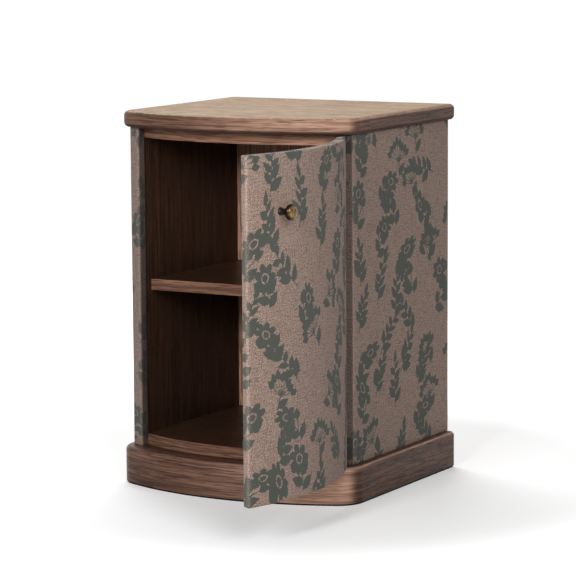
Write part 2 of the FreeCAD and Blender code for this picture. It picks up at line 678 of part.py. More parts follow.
# Door: bowed core, cloth outside and around its edges, veneer inside
def end_cutter(label, side, shift, z):
    """Box beyond one end of the door; the closing end leans in by the bevel angle."""
    cutter = doc.addObject("Part::Box", label)
    cutter.setExpression("Length", "dims.side_thickness + dims.body_width / 2")
    cutter.setExpression("Width", "dims.door_thickness + 2 * dims.cut_overrun")
    cutter.setExpression("Height", f"{z[1]} - ({z[0]})")
    turn = DOOR_END_ANGLE if side > 0 else f"(-{DOOR_END_ANGLE} - dims.door_bevel_angle * 1 deg)"
    start = f"(-({shift}))" if side > 0 else f"({shift} - dims.side_thickness - dims.body_width / 2)"
    corner_x = DOOR_HALF if side > 0 else f"(-{DOOR_HALF})"
    place(
        cutter,
        f"{corner_x} + {start} * cos({turn}) + dims.cut_overrun * sin({turn})",
        f"{DOOR_END_Y} + {start} * sin({turn}) - dims.cut_overrun * cos({turn})",
        z[0],
        turn,
    )
    return cutter


def door_shell(label, outer, inner, shift, z):
    """Part of the door between two radii, its ends moved in from the door's own ends."""
    span = box(label + "_span", (f"-{HALF}", HALF), (FAR_FRONT, BOW_Y), z)
    bow = cut(label + "_bow", drum(label + "_outer", outer, z), drum(label + "_inner", inner, z))
    ends = [end_cutter(f"{label}_end_{i}", side, shift, z) for i, side in enumerate((-1, 1))]
    return cut(label + "_shell", common(label + "_bowed", bow, span), *ends)


door_z = (DOOR_LOW, DOOR_HIGH)
core_z = (f"({DOOR_LOW} + dims.fabric_thickness)", f"({DOOR_HIGH} - dims.fabric_thickness)")
core_shell = door_shell("door_core", CORE_FRONT_R, LINING_R, "dims.fabric_thickness", core_z)
lining_shell = door_shell("door_lining", LINING_R, DOOR_BACK_R, "dims.fabric_thickness", core_z)
whole_shell = door_shell("door_whole", "dims.bow_radius", DOOR_BACK_R, "0", door_z)

# Knob: a turned neck and a domed head, held by a screw from inside
stem_x, stem_y = on_bow("dims.bow_radius", KNOB_TURN)
stem = body("stem_body")
screw_bore = "dims.knob_screw_diameter / 2 + dims.screw_fit"
turned(
    stem,
    "stem",
    [
        (screw_bore, 0),
        ("dims.knob_stem_diameter / 2", 0),
        ("dims.knob_stem_waist / 2", "-dims.knob_stem_length"),
        ("dims.knob_spigot_diameter / 2", "-dims.knob_stem_length"),
        ("dims.knob_spigot_diameter / 2", "-dims.knob_stem_length - dims.knob_spigot_length"),
        (screw_bore, "-dims.knob_stem_length - dims.knob_spigot_length"),
    ],
)
place(stem, stem_x, stem_y, KNOB_Z, KNOB_TURN)
on_door("knob_stem", stem)

head = body("head_body")
socket = "dims.knob_spigot_diameter / 2 + dims.knob_spigot_fit"
socket_end = "-dims.knob_stem_length - dims.knob_spigot_length"
head_front = "-dims.knob_stem_length - dims.knob_head_thickness"
turned(
    head,
    "head",
    [
        (socket, "-dims.knob_stem_length"),
        ("dims.knob_head_diameter / 2", "-dims.knob_stem_length"),
        ("dims.knob_head_diameter / 2", head_front),
        (0, head_front),
        (0, socket_end),
        (socket, socket_end),
    ],
)


def rim_at(along):
    """Test for the head's outer rim at a place along its axis."""
    return lambda edge: (
        same(edge.BoundBox.XLength, value("dims.knob_head_diameter"))
        and same(edge.BoundBox.YMin, value(along))
        and same(edge.BoundBox.YMax, value(along))
    )


rounded(head, "head_dome", "dims.knob_dome_radius", rim_at(head_front))
rounded(head, "head_back", "dims.knob_back_radius", rim_at("-dims.knob_stem_length"))
place(head, stem_x, stem_y, KNOB_Z, KNOB_TURN)
on_door("knob_head", head)

bolt = body("bolt_body")
bolt_seat = "dims.door_thickness"
turned(
    bolt,
    "bolt",
    [
        (0, "dims.door_thickness + dims.knob_screw_head_thickness"),
        (0, "-dims.knob_screw_bite"),
        ("dims.knob_screw_diameter / 2", "-dims.knob_screw_bite"),
        ("dims.knob_screw_diameter / 2", bolt_seat),
        ("dims.knob_screw_head / 2", bolt_seat),
        ("dims.knob_screw_head / 2", "dims.door_thickness + dims.knob_screw_head_thickness"),
    ],
)
place(bolt, stem_x, stem_y, KNOB_Z, KNOB_TURN)
on_door("knob_screw", bolt)


def across_door(label, radius, turn, height, outer, inner):
    """Hole along the bow's radius, between two radii."""
    hole = doc.addObject("Part::Cylinder", label)
    hole.setExpression("Radius", radius)
    hole.setExpression("Height", f"{outer} - ({inner})")
    spin = FreeCAD.Rotation(FreeCAD.Vector(0, 0, 1), value(turn))
    hole.Placement.Rotation = spin * FreeCAD.Rotation(FreeCAD.Vector(1, 0, 0), 90)
    x, y = on_bow(inner, turn)
    place(hole, x, y, height)
    return hole


PAST_DOOR_R = "(dims.bow_radius + dims.cut_overrun)"
BEHIND_DOOR_R = f"({DOOR_BACK_R} - dims.cut_overrun)"
knob_bore = across_door("knob_bore", screw_bore, KNOB_TURN, KNOB_Z, PAST_DOOR_R, BEHIND_DOOR_R)

# Strike plate on the door's inner face, opposite the catch
STRIKE_LOW = f"({FLOOR_TOP} + dims.strike_rise)"
strike_z = (STRIKE_LOW, f"({STRIKE_LOW} + dims.strike_height)")
STRIKE_R = f"({DOOR_BACK_R} - dims.strike_thickness)"
strike_outer = drum("strike_outer", DOOR_BACK_R, strike_z)
strike_bow = cut("strike_bow", strike_outer, drum("strike_inner", STRIKE_R, strike_z))
strike_x, strike_y = on_bow(f"({DOOR_BACK_R} + dims.cut_overrun)", CATCH_TURN)
strike_box = doc.addObject("Part::Box", "strike_box")
strike_box.setExpression("Length", "dims.strike_width")
strike_box.setExpression("Width", "dims.strike_thickness + 2 * dims.cut_overrun")
strike_box.setExpression("Height", "dims.strike_height")
place(
    strike_box,
    f"{strike_x} - dims.strike_width / 2 * cos({CATCH_TURN})",
    f"{strike_y} - dims.strike_width / 2 * sin({CATCH_TURN})",
    strike_z[0],
    CATCH_TURN,
)
STRIKE_MIDDLE = f"({STRIKE_LOW} + dims.strike_height / 2)"
strike_hole = across_door(
    "strike_hole",
    "dims.small_screw_diameter / 2 + dims.screw_fit",
    CATCH_TURN,
    STRIKE_MIDDLE,
    f"({STRIKE_R} + dims.strike_screw_length)",
    STRIKE_R,
)
strike_blank = common("strike_blank", strike_bow, strike_box)
on_door("strike_plate", cut("strike_plate_bored", strike_blank, strike_hole))
strike_screw = across_door(
    "strike_screw_shank",
    "dims.small_screw_diameter / 2",
    CATCH_TURN,
    STRIKE_MIDDLE,
    f"({STRIKE_R} + dims.strike_screw_length)",
    STRIKE_R,
)
on_door("strike_screw", strike_screw)

leaf_holes = upper_leaf_holes + lower_leaf_holes
on_door("door_core", cut("door_core_bored", core_shell, knob_bore, strike_hole, *leaf_holes))
on_door("door_lining", cut("door_lining_bored", lining_shell, knob_bore, strike_hole))
wrapped = [core_shell, lining_shell]
on_door("door_fabric", cut("door_fabric_cut", whole_shell, *wrapped, knob_bore, *leaf_holes))


# Door leaves: plates on the door's ends that reach past its edge to the pins
def door_leaf(label, z, holes):
    arm = doc.addObject("Part::Box", label + "_arm")
    arm.setExpression("Length", "dims.leaf_length")
    arm.setExpression("Width", "dims.leaf_width")
    arm.setExpression("Height", "dims.leaf_thickness")
    place(
        arm,
        f"{AXIS_X} - dims.leaf_length * cos({LEAF_TILT}) + dims.leaf_width / 2 * sin({LEAF_TILT})",
        f"{AXIS_Y} - dims.leaf_length * sin({LEAF_TILT}) - dims.leaf_width / 2 * cos({LEAF_TILT})",
        z[0],
        LEAF_TILT,
    )
    eye = cylinder(label + "_eye", "dims.leaf_width / 2", AXIS_X, AXIS_Y, z)
    bore = cylinder(label + "_bore", PIN_HOLE, AXIS_X, AXIS_Y, z)
    on_door(label, cut(label + "_bored", fuse(label + "_blank", arm, eye), bore, *holes))


door_leaf("upper_door_leaf", (DOOR_HIGH, LEAF_TOP), upper_leaf_holes)
door_leaf("lower_door_leaf", (LEAF_BOTTOM, DOOR_LOW), lower_leaf_holes)
on_door("door_leaf_screws", *upper_leaf_screws, *lower_leaf_screws)

doc.recompute()
for piece in doc.Objects:
    if {"Invalid", "Error"} & set(piece.State):
        raise RuntimeError(f"{piece.Label} did not build: {piece.State}")
for piece in nodes:
    if piece.Shape.isNull() or not piece.Shape.isValid() or not piece.Shape.Solids:
        raise RuntimeError(f"{piece.Label} has no valid solid")

os.makedirs("parts", exist_ok=True)
for piece in nodes:
    piece.Shape.exportStep(f"parts/{piece.Label}.step")
    print(piece.Label, len(piece.Shape.Solids), round(piece.Shape.Volume, 1))
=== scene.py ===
# %% [markdown]
# # A bow-fronted side table with a cloth-covered door
#
# The table is a small cupboard: an oak top, an oak plinth, two thick sides and one
# curved door, with printed linen stretched over the sides and the door. The solids come
# from the CAD model as a fixed frame, in metres. This lesson adds what the solids lack:
# the cloth, the finishes, the light and the camera.

# %% Load the frame
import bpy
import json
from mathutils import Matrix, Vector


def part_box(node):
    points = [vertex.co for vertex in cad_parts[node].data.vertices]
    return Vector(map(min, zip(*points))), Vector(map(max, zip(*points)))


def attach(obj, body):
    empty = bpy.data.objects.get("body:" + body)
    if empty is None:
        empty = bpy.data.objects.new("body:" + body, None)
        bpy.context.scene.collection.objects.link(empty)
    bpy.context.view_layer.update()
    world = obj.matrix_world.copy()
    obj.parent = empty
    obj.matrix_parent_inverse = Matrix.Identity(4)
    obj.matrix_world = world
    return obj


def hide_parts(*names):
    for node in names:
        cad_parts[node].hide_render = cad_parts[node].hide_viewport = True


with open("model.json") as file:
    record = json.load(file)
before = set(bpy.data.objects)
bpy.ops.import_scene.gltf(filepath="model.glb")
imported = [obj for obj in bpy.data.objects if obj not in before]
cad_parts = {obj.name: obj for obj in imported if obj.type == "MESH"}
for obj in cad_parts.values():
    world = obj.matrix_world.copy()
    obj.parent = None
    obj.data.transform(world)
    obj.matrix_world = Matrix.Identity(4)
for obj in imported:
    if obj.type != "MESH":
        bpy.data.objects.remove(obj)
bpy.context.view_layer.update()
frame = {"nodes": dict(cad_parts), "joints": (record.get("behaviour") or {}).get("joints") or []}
print("solids loaded:", len(frame["nodes"]))

# %% Tools and units
import json
import math

import bpy
import numpy as np
from mathutils import Matrix

MM = 0.001
scene = bpy.context.scene
scene.view_settings.view_transform = "Standard"
print("one unit is a metre, and MM turns millimetres into it")

# %% [markdown]
# ## Camera
#
# The photograph is taken from the right of the front, a little above the top, through a
# long lens that keeps the uprights nearly parallel. The place and lens were fitted to
# the corners of the table, so they are set as plain numbers rather than found by eye.

# %% Camera
LENS_MM, SENSOR_MM = 180.356, 36
CAMERA_PLACE = (2.29406, -4.12749, 0.95101)
CAMERA_TURN = math.radians(29.145)
CAMERA_DIP = math.radians(7.724)
CAMERA_ROLL = math.radians(-0.357)

lens = bpy.data.cameras.new("camera")
lens.sensor_width = SENSOR_MM
lens.lens = LENS_MM
camera = bpy.data.objects.new("camera", lens)
scene.collection.objects.link(camera)
camera.matrix_world = (
    Matrix.Translation(CAMERA_PLACE)
    @ Matrix.Rotation(CAMERA_TURN, 4, "Z")
    @ Matrix.Rotation(math.pi / 2 - CAMERA_DIP, 4, "X")
    @ Matrix.Rotation(CAMERA_ROLL, 4, "Z")
)
scene.camera = camera
print("camera stands", round(camera.location.length, 2), "m away")

# %% [markdown]
# ## Cloth: a line folded round a panel
#
# The linen is glued round each panel: from the inner edge, over a soft corner, across
# the face and round the far edge. It could be a subdivided box, but a box has no
# unrolled length for the print to follow. Here the cloth is a folded line in plan
# carried upwards, so the distance walked along the line is the cloth's own coordinate.

# %% The folded line
CLOTH_STEP = 1.6 * MM
FOLD_CUTS = 8


def between(start, end, step):
    """Points on the straight run from start to end, without its ends, at most a step apart."""
    cuts = max(1, math.ceil(math.dist(start, end) / step))
    share = np.arange(1, cuts)[:, None] / cuts
    return start + (end - start) * share


def soft_corner(corner, before, after, radius):
    """An arc that turns the way before into the way after, tangent to both.

    It starts at radius * tan(turn / 2) ahead of the corner, and swings about a
    centre that lies one radius to the side of the turn.
    """
    turn = math.atan2(before[0] * after[1] - before[1] * after[0], before @ after)
    if radius == 0 or abs(turn) < 1e-6:
        return corner[None]
    start = corner - before * radius * math.tan(abs(turn) / 2)
    arm = math.copysign(radius, turn) * np.array([before[1], -before[0]])
    swing = np.linspace(0, turn, FOLD_CUTS + 1)[:, None]
    ahead = np.array([-arm[1], arm[0]])
    return start - arm + arm * np.cos(swing) + ahead * np.sin(swing)


def folded_line(corners, radii):
    """A line in plan through the corners, each rounded by its radius.

    Returns the points, the outward normals (to the right of the walk) and the
    distance walked to each point.
    """
    corners = np.asarray(corners, float)
    runs = np.diff(corners, axis=0)
    ways = runs / np.hypot(*runs.T)[:, None]
    parts = [corners[:1]]
    for k in range(1, len(corners) - 1):
        bend = soft_corner(corners[k], ways[k - 1], ways[k], radii[k])
        parts += [between(parts[-1][-1], bend[0], CLOTH_STEP), bend]
        parts = [part for part in parts if len(part)]
    parts += [between(parts[-1][-1], corners[-1], CLOTH_STEP), corners[-1:]]
    line = np.concatenate([part for part in parts if len(part)])
    walked = np.concatenate([[0], np.cumsum(np.hypot(*np.diff(line, axis=0).T))])
    way = np.gradient(line, axis=0)
    way /= np.hypot(*way.T)[:, None]
    return line, np.stack([way[:, 1], -way[:, 0]], axis=1), walked


print("corners are rounded in", FOLD_CUTS, "cuts")

# %% [markdown]
# ## Cloth: carrying the line upwards
#
# At its top and bottom the cloth turns in over the edge of the board. A hard cut there
# would look like paper, so the last rows roll inwards on a quarter circle. Each row is
# the folded line moved in by its tuck, and the whole sheet is one grid of points.

# %% The standing sheet
ROLL_CUTS = 5


def standing_rows(tall, roll):
    """Rows of a sheet that tall: their share of the height, rise, tuck and unrolled rise.

    The middle rows stand straight. At each end a quarter circle of radius roll
    rises by roll * sin(a), tucks in by roll * (1 - cos(a)) and is roll * a long.
    """
    middle = np.linspace(0, 1, math.ceil((tall - 2 * roll) / CLOTH_STEP) + 1)
    angle = np.linspace(0, math.pi / 2, ROLL_CUTS + 1)[1:]
    still = np.zeros_like(middle)
    share = np.concatenate([np.zeros_like(angle), middle, np.ones_like(angle)])
    rise = roll * np.concatenate([-np.sin(angle[::-1]), still, np.sin(angle)])
    tuck = roll * np.concatenate([1 - np.cos(angle[::-1]), still, 1 - np.cos(angle)])
    unrolled = roll * np.concatenate([-angle[::-1], still, angle])
    return share, rise, tuck, unrolled


def standing_sheet(line, normals, walked, low, high, roll):
    """The folded line carried from low to high, which may differ along the line.

    Returns the grid of points and the grid of cloth coordinates: distance walked
    along the line, and unrolled height.
    """
    low, high = (np.broadcast_to(edge, len(line)) for edge in (low, high))
    share, rise, tuck, unrolled = standing_rows(float(np.max(high - low)), roll)
    straight = (low + roll) + np.outer(share, high - low - 2 * roll)
    plan = line[None] - normals[None] * tuck[:, None, None]
    points = np.dstack([plan, straight + rise[:, None]])
    across = np.broadcast_to(walked, straight.shape)
    return points, np.dstack([across, straight + unrolled[:, None]])


print("a 1 m sheet has", len(standing_rows(1, MM)[0]), "rows")

# %% [markdown]
# ## The two sides
#
# Each side is a thick board with linen over its outer face, its curved front edge and a
# short return inside the cupboard. At the hinge side the cloth stops short of the top and
# bottom, where the door's hinge leaves swing through a notch. The left side is
# the right one mirrored, walked the other way so that its face still points out.

# %% Lines of the sides
BOW_CENTRE_Y = 207.066 * MM
BOW_RADIUS = 430 * MM
DOOR_BACK_RADIUS = 415 * MM
CLOTH_THICK = 1.2 * MM
CLOTH_FOLD = 2.5 * MM
HEM_FOLD = 0.5 * MM
SIDE_ROLL = 0.9 * MM
FRONT_POINTS = 7

side_low, side_high = (np.array(corner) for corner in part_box("right_side_fabric"))


def on_bow(radius, angle):
    """A point of the bow: angle from straight ahead, towards +X, at a radius."""
    return np.stack([radius * np.sin(angle), BOW_CENTRE_Y - radius * np.cos(angle)], axis=-1)


def side_line():
    """The right side in plan: hem, inner return, curved front, outer face, rear edge."""
    inner, outer, rear = side_low[0], side_high[0], side_high[1]
    inner_end = on_bow(DOOR_BACK_RADIUS, math.asin(inner / DOOR_BACK_RADIUS))
    reach = np.arcsin(np.array([inner, outer]) / BOW_RADIUS)
    front = on_bow(BOW_RADIUS, np.linspace(*reach, FRONT_POINTS))
    lining = inner + CLOTH_THICK
    corners = [[lining, inner_end[1]], inner_end, *front, [outer, rear], [lining, rear]]
    radii = [0, HEM_FOLD, CLOTH_FOLD, *[0] * (len(front) - 2), CLOTH_FOLD, CLOTH_FOLD, 0]
    return folded_line(corners, radii)


right_line, right_normals, right_walked = side_line()
left_line = right_line[::-1] * [-1, 1]
left_normals = right_normals[::-1] * [-1, 1]
left_walked = right_walked[-1] - right_walked[::-1]
print("side cloth is", round(right_walked[-1], 4), "m round")

# %% Standing the side cloths
NOTCH_X = 197 * MM
NOTCH_Y = -150 * MM
NOTCH_HIGH = 3.2 * MM

notched = (right_line[:, 0] < NOTCH_X) & (right_line[:, 1] < NOTCH_Y)
lift = np.where(notched, NOTCH_HIGH, 0)
floor_z, ceiling_z = side_low[2], side_high[2]
right_sheet = standing_sheet(
    right_line, right_normals, right_walked, floor_z + lift, ceiling_z - lift, SIDE_ROLL
)
left_sheet = standing_sheet(left_line, left_normals, left_walked, floor_z, ceiling_z, SIDE_ROLL)
print("side grids:", right_sheet[0].shape, left_sheet[0].shape)

# %% [markdown]
# ## The door
#
# The door is a slice of the same bow, drawn shut and then swung open about its hinge.
# Its linen goes over the hinge edge, the curved face and the leaning free edge. Two
# bands cover the top and bottom edges, because one grid can't fold over two edges that
# meet at a corner without crumpling, and a maker cuts the corner there as well.

# %% Lines of the door
DOOR_HALF = 177 * MM
DOOR_LEAN = math.radians(12)
DOOR_OPEN = math.radians(94)
DOOR_ROLL = 1.5 * MM
LEAF_ROOM = 0.15 * MM
CORNER_ROOM = 3 * CLOTH_FOLD

hinge_axis = np.array(frame["joints"][0]["pos_m"])[:2]
door_low, door_high = (np.array(corner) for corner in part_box("door_fabric"))
door_bottom, door_top = door_low[2] + LEAF_ROOM, door_high[2] - LEAF_ROOM
half_angle = math.asin(DOOR_HALF / BOW_RADIUS)
door_thick = BOW_RADIUS - DOOR_BACK_RADIUS
lean_angle = door_thick * math.tan(DOOR_LEAN) / DOOR_BACK_RADIUS


def opened(plan):
    """Plan points of the shut door, turned about the hinge to where it stands open."""
    turn = np.array(
        [
            [math.cos(DOOR_OPEN), math.sin(DOOR_OPEN)],
            [-math.sin(DOOR_OPEN), math.cos(DOOR_OPEN)],
        ]
    )
    return (plan - hinge_axis) @ turn + hinge_axis


def door_line():
    """The shut door in plan: hem, leaning free edge, bowed face, hinge edge, hem.

    The face has no points in the room that its soft corners take up.
    """
    hem = CLOTH_THICK / DOOR_BACK_RADIUS
    free = lean_angle - half_angle
    cuts = math.ceil(2 * half_angle * BOW_RADIUS / CLOTH_STEP)
    share = np.linspace(0, 1, cuts + 1)
    margin = CORNER_ROOM / (2 * half_angle * BOW_RADIUS)
    share = share[(share == 0) | (share == 1) | ((share > margin) & (share < 1 - margin))]
    face = on_bow(BOW_RADIUS, half_angle * (2 * share - 1))
    back = on_bow(DOOR_BACK_RADIUS, np.array([free + hem, free, half_angle, half_angle - hem]))
    corners = [*back[:2], *face, *back[2:]]
    radii = [0, HEM_FOLD, CLOTH_FOLD, *[0] * (len(face) - 2), CLOTH_FOLD, HEM_FOLD, 0]
    return folded_line(corners, radii)


shut_line, shut_normals, door_walked = door_line()
shut_sheet, door_coords = standing_sheet(
    shut_line, shut_normals, door_walked, door_bottom, door_top, DOOR_ROLL
)
print("door cloth is", round(door_walked[-1], 4), "m round")

# %% Bands over the door's top and bottom
BAND_CUTS = 8


def edge_band(height, way):
    """The band over one edge of the door, a strip between two arcs of the bow.

    It runs flat from the rolled edge of the face to the back of the door, then
    turns over the back by the thickness of the cloth. way is 1 at the top and -1
    at the bottom.
    """
    tuck = DOOR_ROLL / BOW_RADIUS
    outer_radius = BOW_RADIUS - DOOR_ROLL
    free_end = np.array([[0], [lean_angle]]) + tuck - half_angle
    hinge_end = half_angle - tuck
    along = np.linspace(0, 1, math.ceil(2 * DOOR_HALF / CLOTH_STEP) + 1)
    over = np.concatenate([np.linspace(0, 1, BAND_CUTS + 1), [1]])[:, None]
    angles = free_end + (hinge_end - free_end) * along
    angle = angles[0] + (angles[1] - angles[0]) * over
    radius = outer_radius + (DOOR_BACK_RADIUS - outer_radius) * over + 0 * angle
    drop = np.zeros_like(over)
    drop[-1] = CLOTH_THICK
    points = np.dstack([on_bow(radius, angle), height - way * (drop + 0 * angle)])
    run = over * (outer_radius - DOOR_BACK_RADIUS) + drop
    across = door_thick + (angle + half_angle) * BOW_RADIUS
    coords = np.dstack([across, height + way * (run + 0 * angle)])
    return (points, coords) if way > 0 else (points[::-1], coords[::-1])


shut_grids = [(shut_sheet, door_coords), edge_band(door_top, 1), edge_band(door_bottom, -1)]
door_grids = [
    (np.dstack([opened(points[..., :2]), points[..., 2:]]), coords)
    for points, coords in shut_grids
]
print("door grids:", [points.shape for points, _ in door_grids])

# %% [markdown]
# ## The print
#
# A loose botanical print in one dark ink covers the linen. It is a design of its own,
# with willow sprigs, daisies and seed fans scattered in a half-drop order. It could be
# worked out in shader nodes, but plants have stems and leaves that belong together, so
# each motif is a small field: negative inside the ink, positive outside, in metres.
# The smallest value wins where motifs meet, and the field is stored on the cloth.

# %% Shapes of the motifs
STEM_HALF = 1.15 * MM
LEAF_SKEW, SCALLOP_DEEP, SCALLOP_TURN = 0.75, 0.09, 28
PETAL_BLUNT = 0.55
RING_AT, RING_HALF, INK_DEEP = 0.3, 0.05, 0.1  # shares of a daisy's radius


def leaf(s, t, length, width):
    """A pointed oval along s, lightly scalloped.

    Half its width follows sin(pi * share ** skew), where share is how far along it is.
    """
    share = np.clip(s / length, 0, 1)
    half = width / 2 * np.sin(math.pi * share**LEAF_SKEW)
    half = half * (1 + SCALLOP_DEEP * np.sin(SCALLOP_TURN * share))
    return np.maximum.reduce([np.abs(t) - half, -s, s - length])


def stem(s, t, length, half=STEM_HALF):
    """A thin line along s, from 0 to length."""
    return np.maximum.reduce([np.abs(t) - half, -s, s - length])


def daisy(s, t, radius, petals, phase):
    """A round head whose rim swings with the cosine of the angle, with a bare ring inside."""
    reach = np.hypot(s, t)
    lobe = np.abs(np.cos(petals / 2 * np.arctan2(t, s) + phase)) ** PETAL_BLUNT
    lit_worn_rim = reach - radius * (1 + lobe) / 2
    ring = np.abs(reach - RING_AT * radius) - RING_HALF * radius
    bare = np.maximum(np.minimum(-lit_worn_rim, -ring), -INK_DEEP * radius)
    return np.maximum(lit_worn_rim, bare)


def turned(s, t, start, side, angle):
    """Coordinates of a branch that leaves the stem at start, to one side, at an angle."""
    run, off = s - start, t * side
    return (
        run * math.cos(angle) + off * math.sin(angle),
        off * math.cos(angle) - run * math.sin(angle),
    )


print("a leaf's field at its middle is", round(float(leaf(9 * MM, 0.0, 18 * MM, 8 * MM)), 5))

# %% Willow sprig
# Ranges are (least, most) in millimetres, and leaves (length, width) in metres. Branches
# leave the stem at a share of its length and at an angle in radians.
SPRIG_LONG, SPRIG_BEND = (60, 82), 0.28
SPRIG_STARTS, SPRIG_ANGLE = (0.16, 0.88, 7), (0.65, 1.0)
SPRIG_LEAF, SPRIG_LEAF_WIDE, SPRIG_TAPER = (25, 33), 0.5, (1.1, 0.5)
SPRIG_TIP = np.array([22, 11]) * MM


def bent(s, t, length, most, dice):
    """The distance off a stem that bends aside by a chance share of s ** 2 / length."""
    return t - dice.uniform(-most, most) * s**2 / length


def willow_sprig(s, t, dice):
    """A curved stem with alternate narrow leaves and one at its tip."""
    length = dice.uniform(*SPRIG_LONG) * MM
    t = bent(s, t, length, SPRIG_BEND, dice)
    field = stem(s, t, length)
    for count, start in enumerate(np.linspace(*SPRIG_STARTS) * length):
        side = 1 - 2 * (count % 2)
        taper = SPRIG_TAPER[0] - SPRIG_TAPER[1] * start / length
        size = dice.uniform(*SPRIG_LEAF) * MM * taper
        run, off = turned(s, t, start, side, dice.uniform(*SPRIG_ANGLE))
        field = np.minimum(field, leaf(run, off, size, SPRIG_LEAF_WIDE * size))
    return np.minimum(field, leaf(s - length, t, *SPRIG_TIP))


print("a sprig has", SPRIG_STARTS[2], "leaves along its stem")

# %% Two more motifs
DAISY_LONG, DAISY_BEND, DAISY_RADIUS = (44, 58), 0.35, (20, 25)
DAISY_PETALS, DAISY_PHASE = (7, 10), 0.4
BUD_START, BUD_ANGLE, BUD_STALK, BUD_AT = 0.3, 0.62, 24 * MM, 22 * MM
BUD = np.array([19, 14]) * MM
FOOT_LEAF, FOOT_LEAF_WIDE, FOOT_ANGLE = (25, 32), 0.55, (0.75, 1.1)
FOOT_STARTS = (0.06, 0.2, 0.48)
FAN_LONG, FAN_SPREAD, FAN_SEEDS = (20, 28), 1.15, 8
SEED_STALK, SEED_STALK_HALF, SEED = (17, 27), 0.8 * STEM_HALF, np.array([17, 11.5]) * MM
FAN_LEAF_START, FAN_LEAF_ANGLE, FAN_LEAF = 0.2, 0.8, np.array([27, 14]) * MM


def daisy_stalk(s, t, dice):
    """A daisy on a bent stalk, a half-open bud beside it and leaves at the foot."""
    length = dice.uniform(*DAISY_LONG) * MM
    t = bent(s, t, length, DAISY_BEND, dice)
    field = stem(s, t, length)
    radius, petals = dice.uniform(*DAISY_RADIUS) * MM, int(dice.integers(*DAISY_PETALS))
    field = np.minimum(field, daisy(s - length, t, radius, petals, DAISY_PHASE))
    side = 1 if dice.random() < 0.5 else -1
    run, off = turned(s, t, BUD_START * length, side, BUD_ANGLE)
    field = np.minimum(field, stem(run, off, BUD_STALK))
    field = np.minimum(field, leaf(run - BUD_AT, off, *BUD))
    for start, way in zip(FOOT_STARTS, (1, -1, -side)):
        size = dice.uniform(*FOOT_LEAF) * MM
        run, off = turned(s, t, start * length, way, dice.uniform(*FOOT_ANGLE))
        field = np.minimum(field, leaf(run, off, size, FOOT_LEAF_WIDE * size))
    return field


def seed_fan(s, t, dice):
    """Seeds on thin stalks that spread like a fan from the top of a short stem."""
    length = dice.uniform(*FAN_LONG) * MM
    field = stem(s, t, length)
    for angle in np.linspace(-FAN_SPREAD, FAN_SPREAD, FAN_SEEDS):
        stalk = dice.uniform(*SEED_STALK) * MM
        run, off = turned(s, t, length, 1, angle)
        field = np.minimum(field, stem(run, off, stalk, SEED_STALK_HALF))
        field = np.minimum(field, leaf(run - stalk, off, *SEED))
    run, off = turned(s, t, FAN_LEAF_START * length, 1, FAN_LEAF_ANGLE)
    return np.minimum(field, leaf(run, off, *FAN_LEAF))


MOTIFS = (willow_sprig, daisy_stalk, willow_sprig, seed_fan, daisy_stalk)
print("motifs:", sorted({motif.__name__ for motif in MOTIFS}))

# %% Scattering the motifs
PRINT_PITCH = np.array([66, 78]) * MM
PRINT_NUDGE, PRINT_LEAN = 11, 0.5
PRINT_FAR, MOTIF_REACH = 20 * MM, 112 * MM
MOTIF_SEEDS = 1 << 30


def half_drop(width, bottom, top, dice):
    """Places in columns a pitch apart, every other column dropped by half, then nudged."""
    columns = np.arange(-1, math.ceil(width / PRINT_PITCH[0]) + 2)
    first, last = math.floor(bottom / PRINT_PITCH[1]), math.ceil(top / PRINT_PITCH[1])
    rows = np.arange(first - 1, last + 1)
    column, row = (grid.ravel() for grid in np.meshgrid(columns, rows))
    place = np.stack([column, row + 0.5 * (column % 2)], axis=1) * PRINT_PITCH
    return place + dice.uniform(-PRINT_NUDGE, PRINT_NUDGE, place.shape) * MM


def print_field(coords, seed):
    """The ink's field at each cloth coordinate: the least of all motifs near it."""
    dice = np.random.default_rng(seed)
    u, v = coords[:, 0], coords[:, 1]
    field = np.full(len(coords), PRINT_FAR)
    for place in half_drop(u.max(), v.min(), v.max(), dice):
        motif = MOTIFS[dice.integers(len(MOTIFS))]
        lean = dice.normal(0, PRINT_LEAN)
        du, dv = u - place[0], v - place[1]
        near = np.hypot(du, dv) < MOTIF_REACH
        own = np.random.default_rng(dice.integers(MOTIF_SEEDS))
        s = du[near] * math.sin(lean) + dv[near] * math.cos(lean)
        t = du[near] * math.cos(lean) - dv[near] * math.sin(lean)
        field[near] = np.minimum(field[near], motif(s, t, own))
    return field


print("print pitch in mm:", PRINT_PITCH / MM)

# %% [markdown]
# ## From grids to cloth pieces
#
# The grids become meshes in one go: all points, all corners of faces and all cloth
# coordinates are arrays, so nothing walks from point to point. Each piece takes the place of
# its plain solid and rides on its body, and the size it is cut from is printed.

# %% Making a cloth piece
# Width of the paler band along each fold, partly wear and partly a painted highlight.
WORN_AND_LIT_WIDTH = 5 * MM


def grid_faces(shape, first):
    """Corner numbers of the quads of a grid, counted from first, facing right of the walk."""
    number = first + np.arange(shape[0] * shape[1]).reshape(shape[:2])
    quads = [number[:-1, :-1], number[:-1, 1:], number[1:, 1:], number[1:, :-1]]
    return np.stack(quads, axis=-1).reshape(-1, 4)


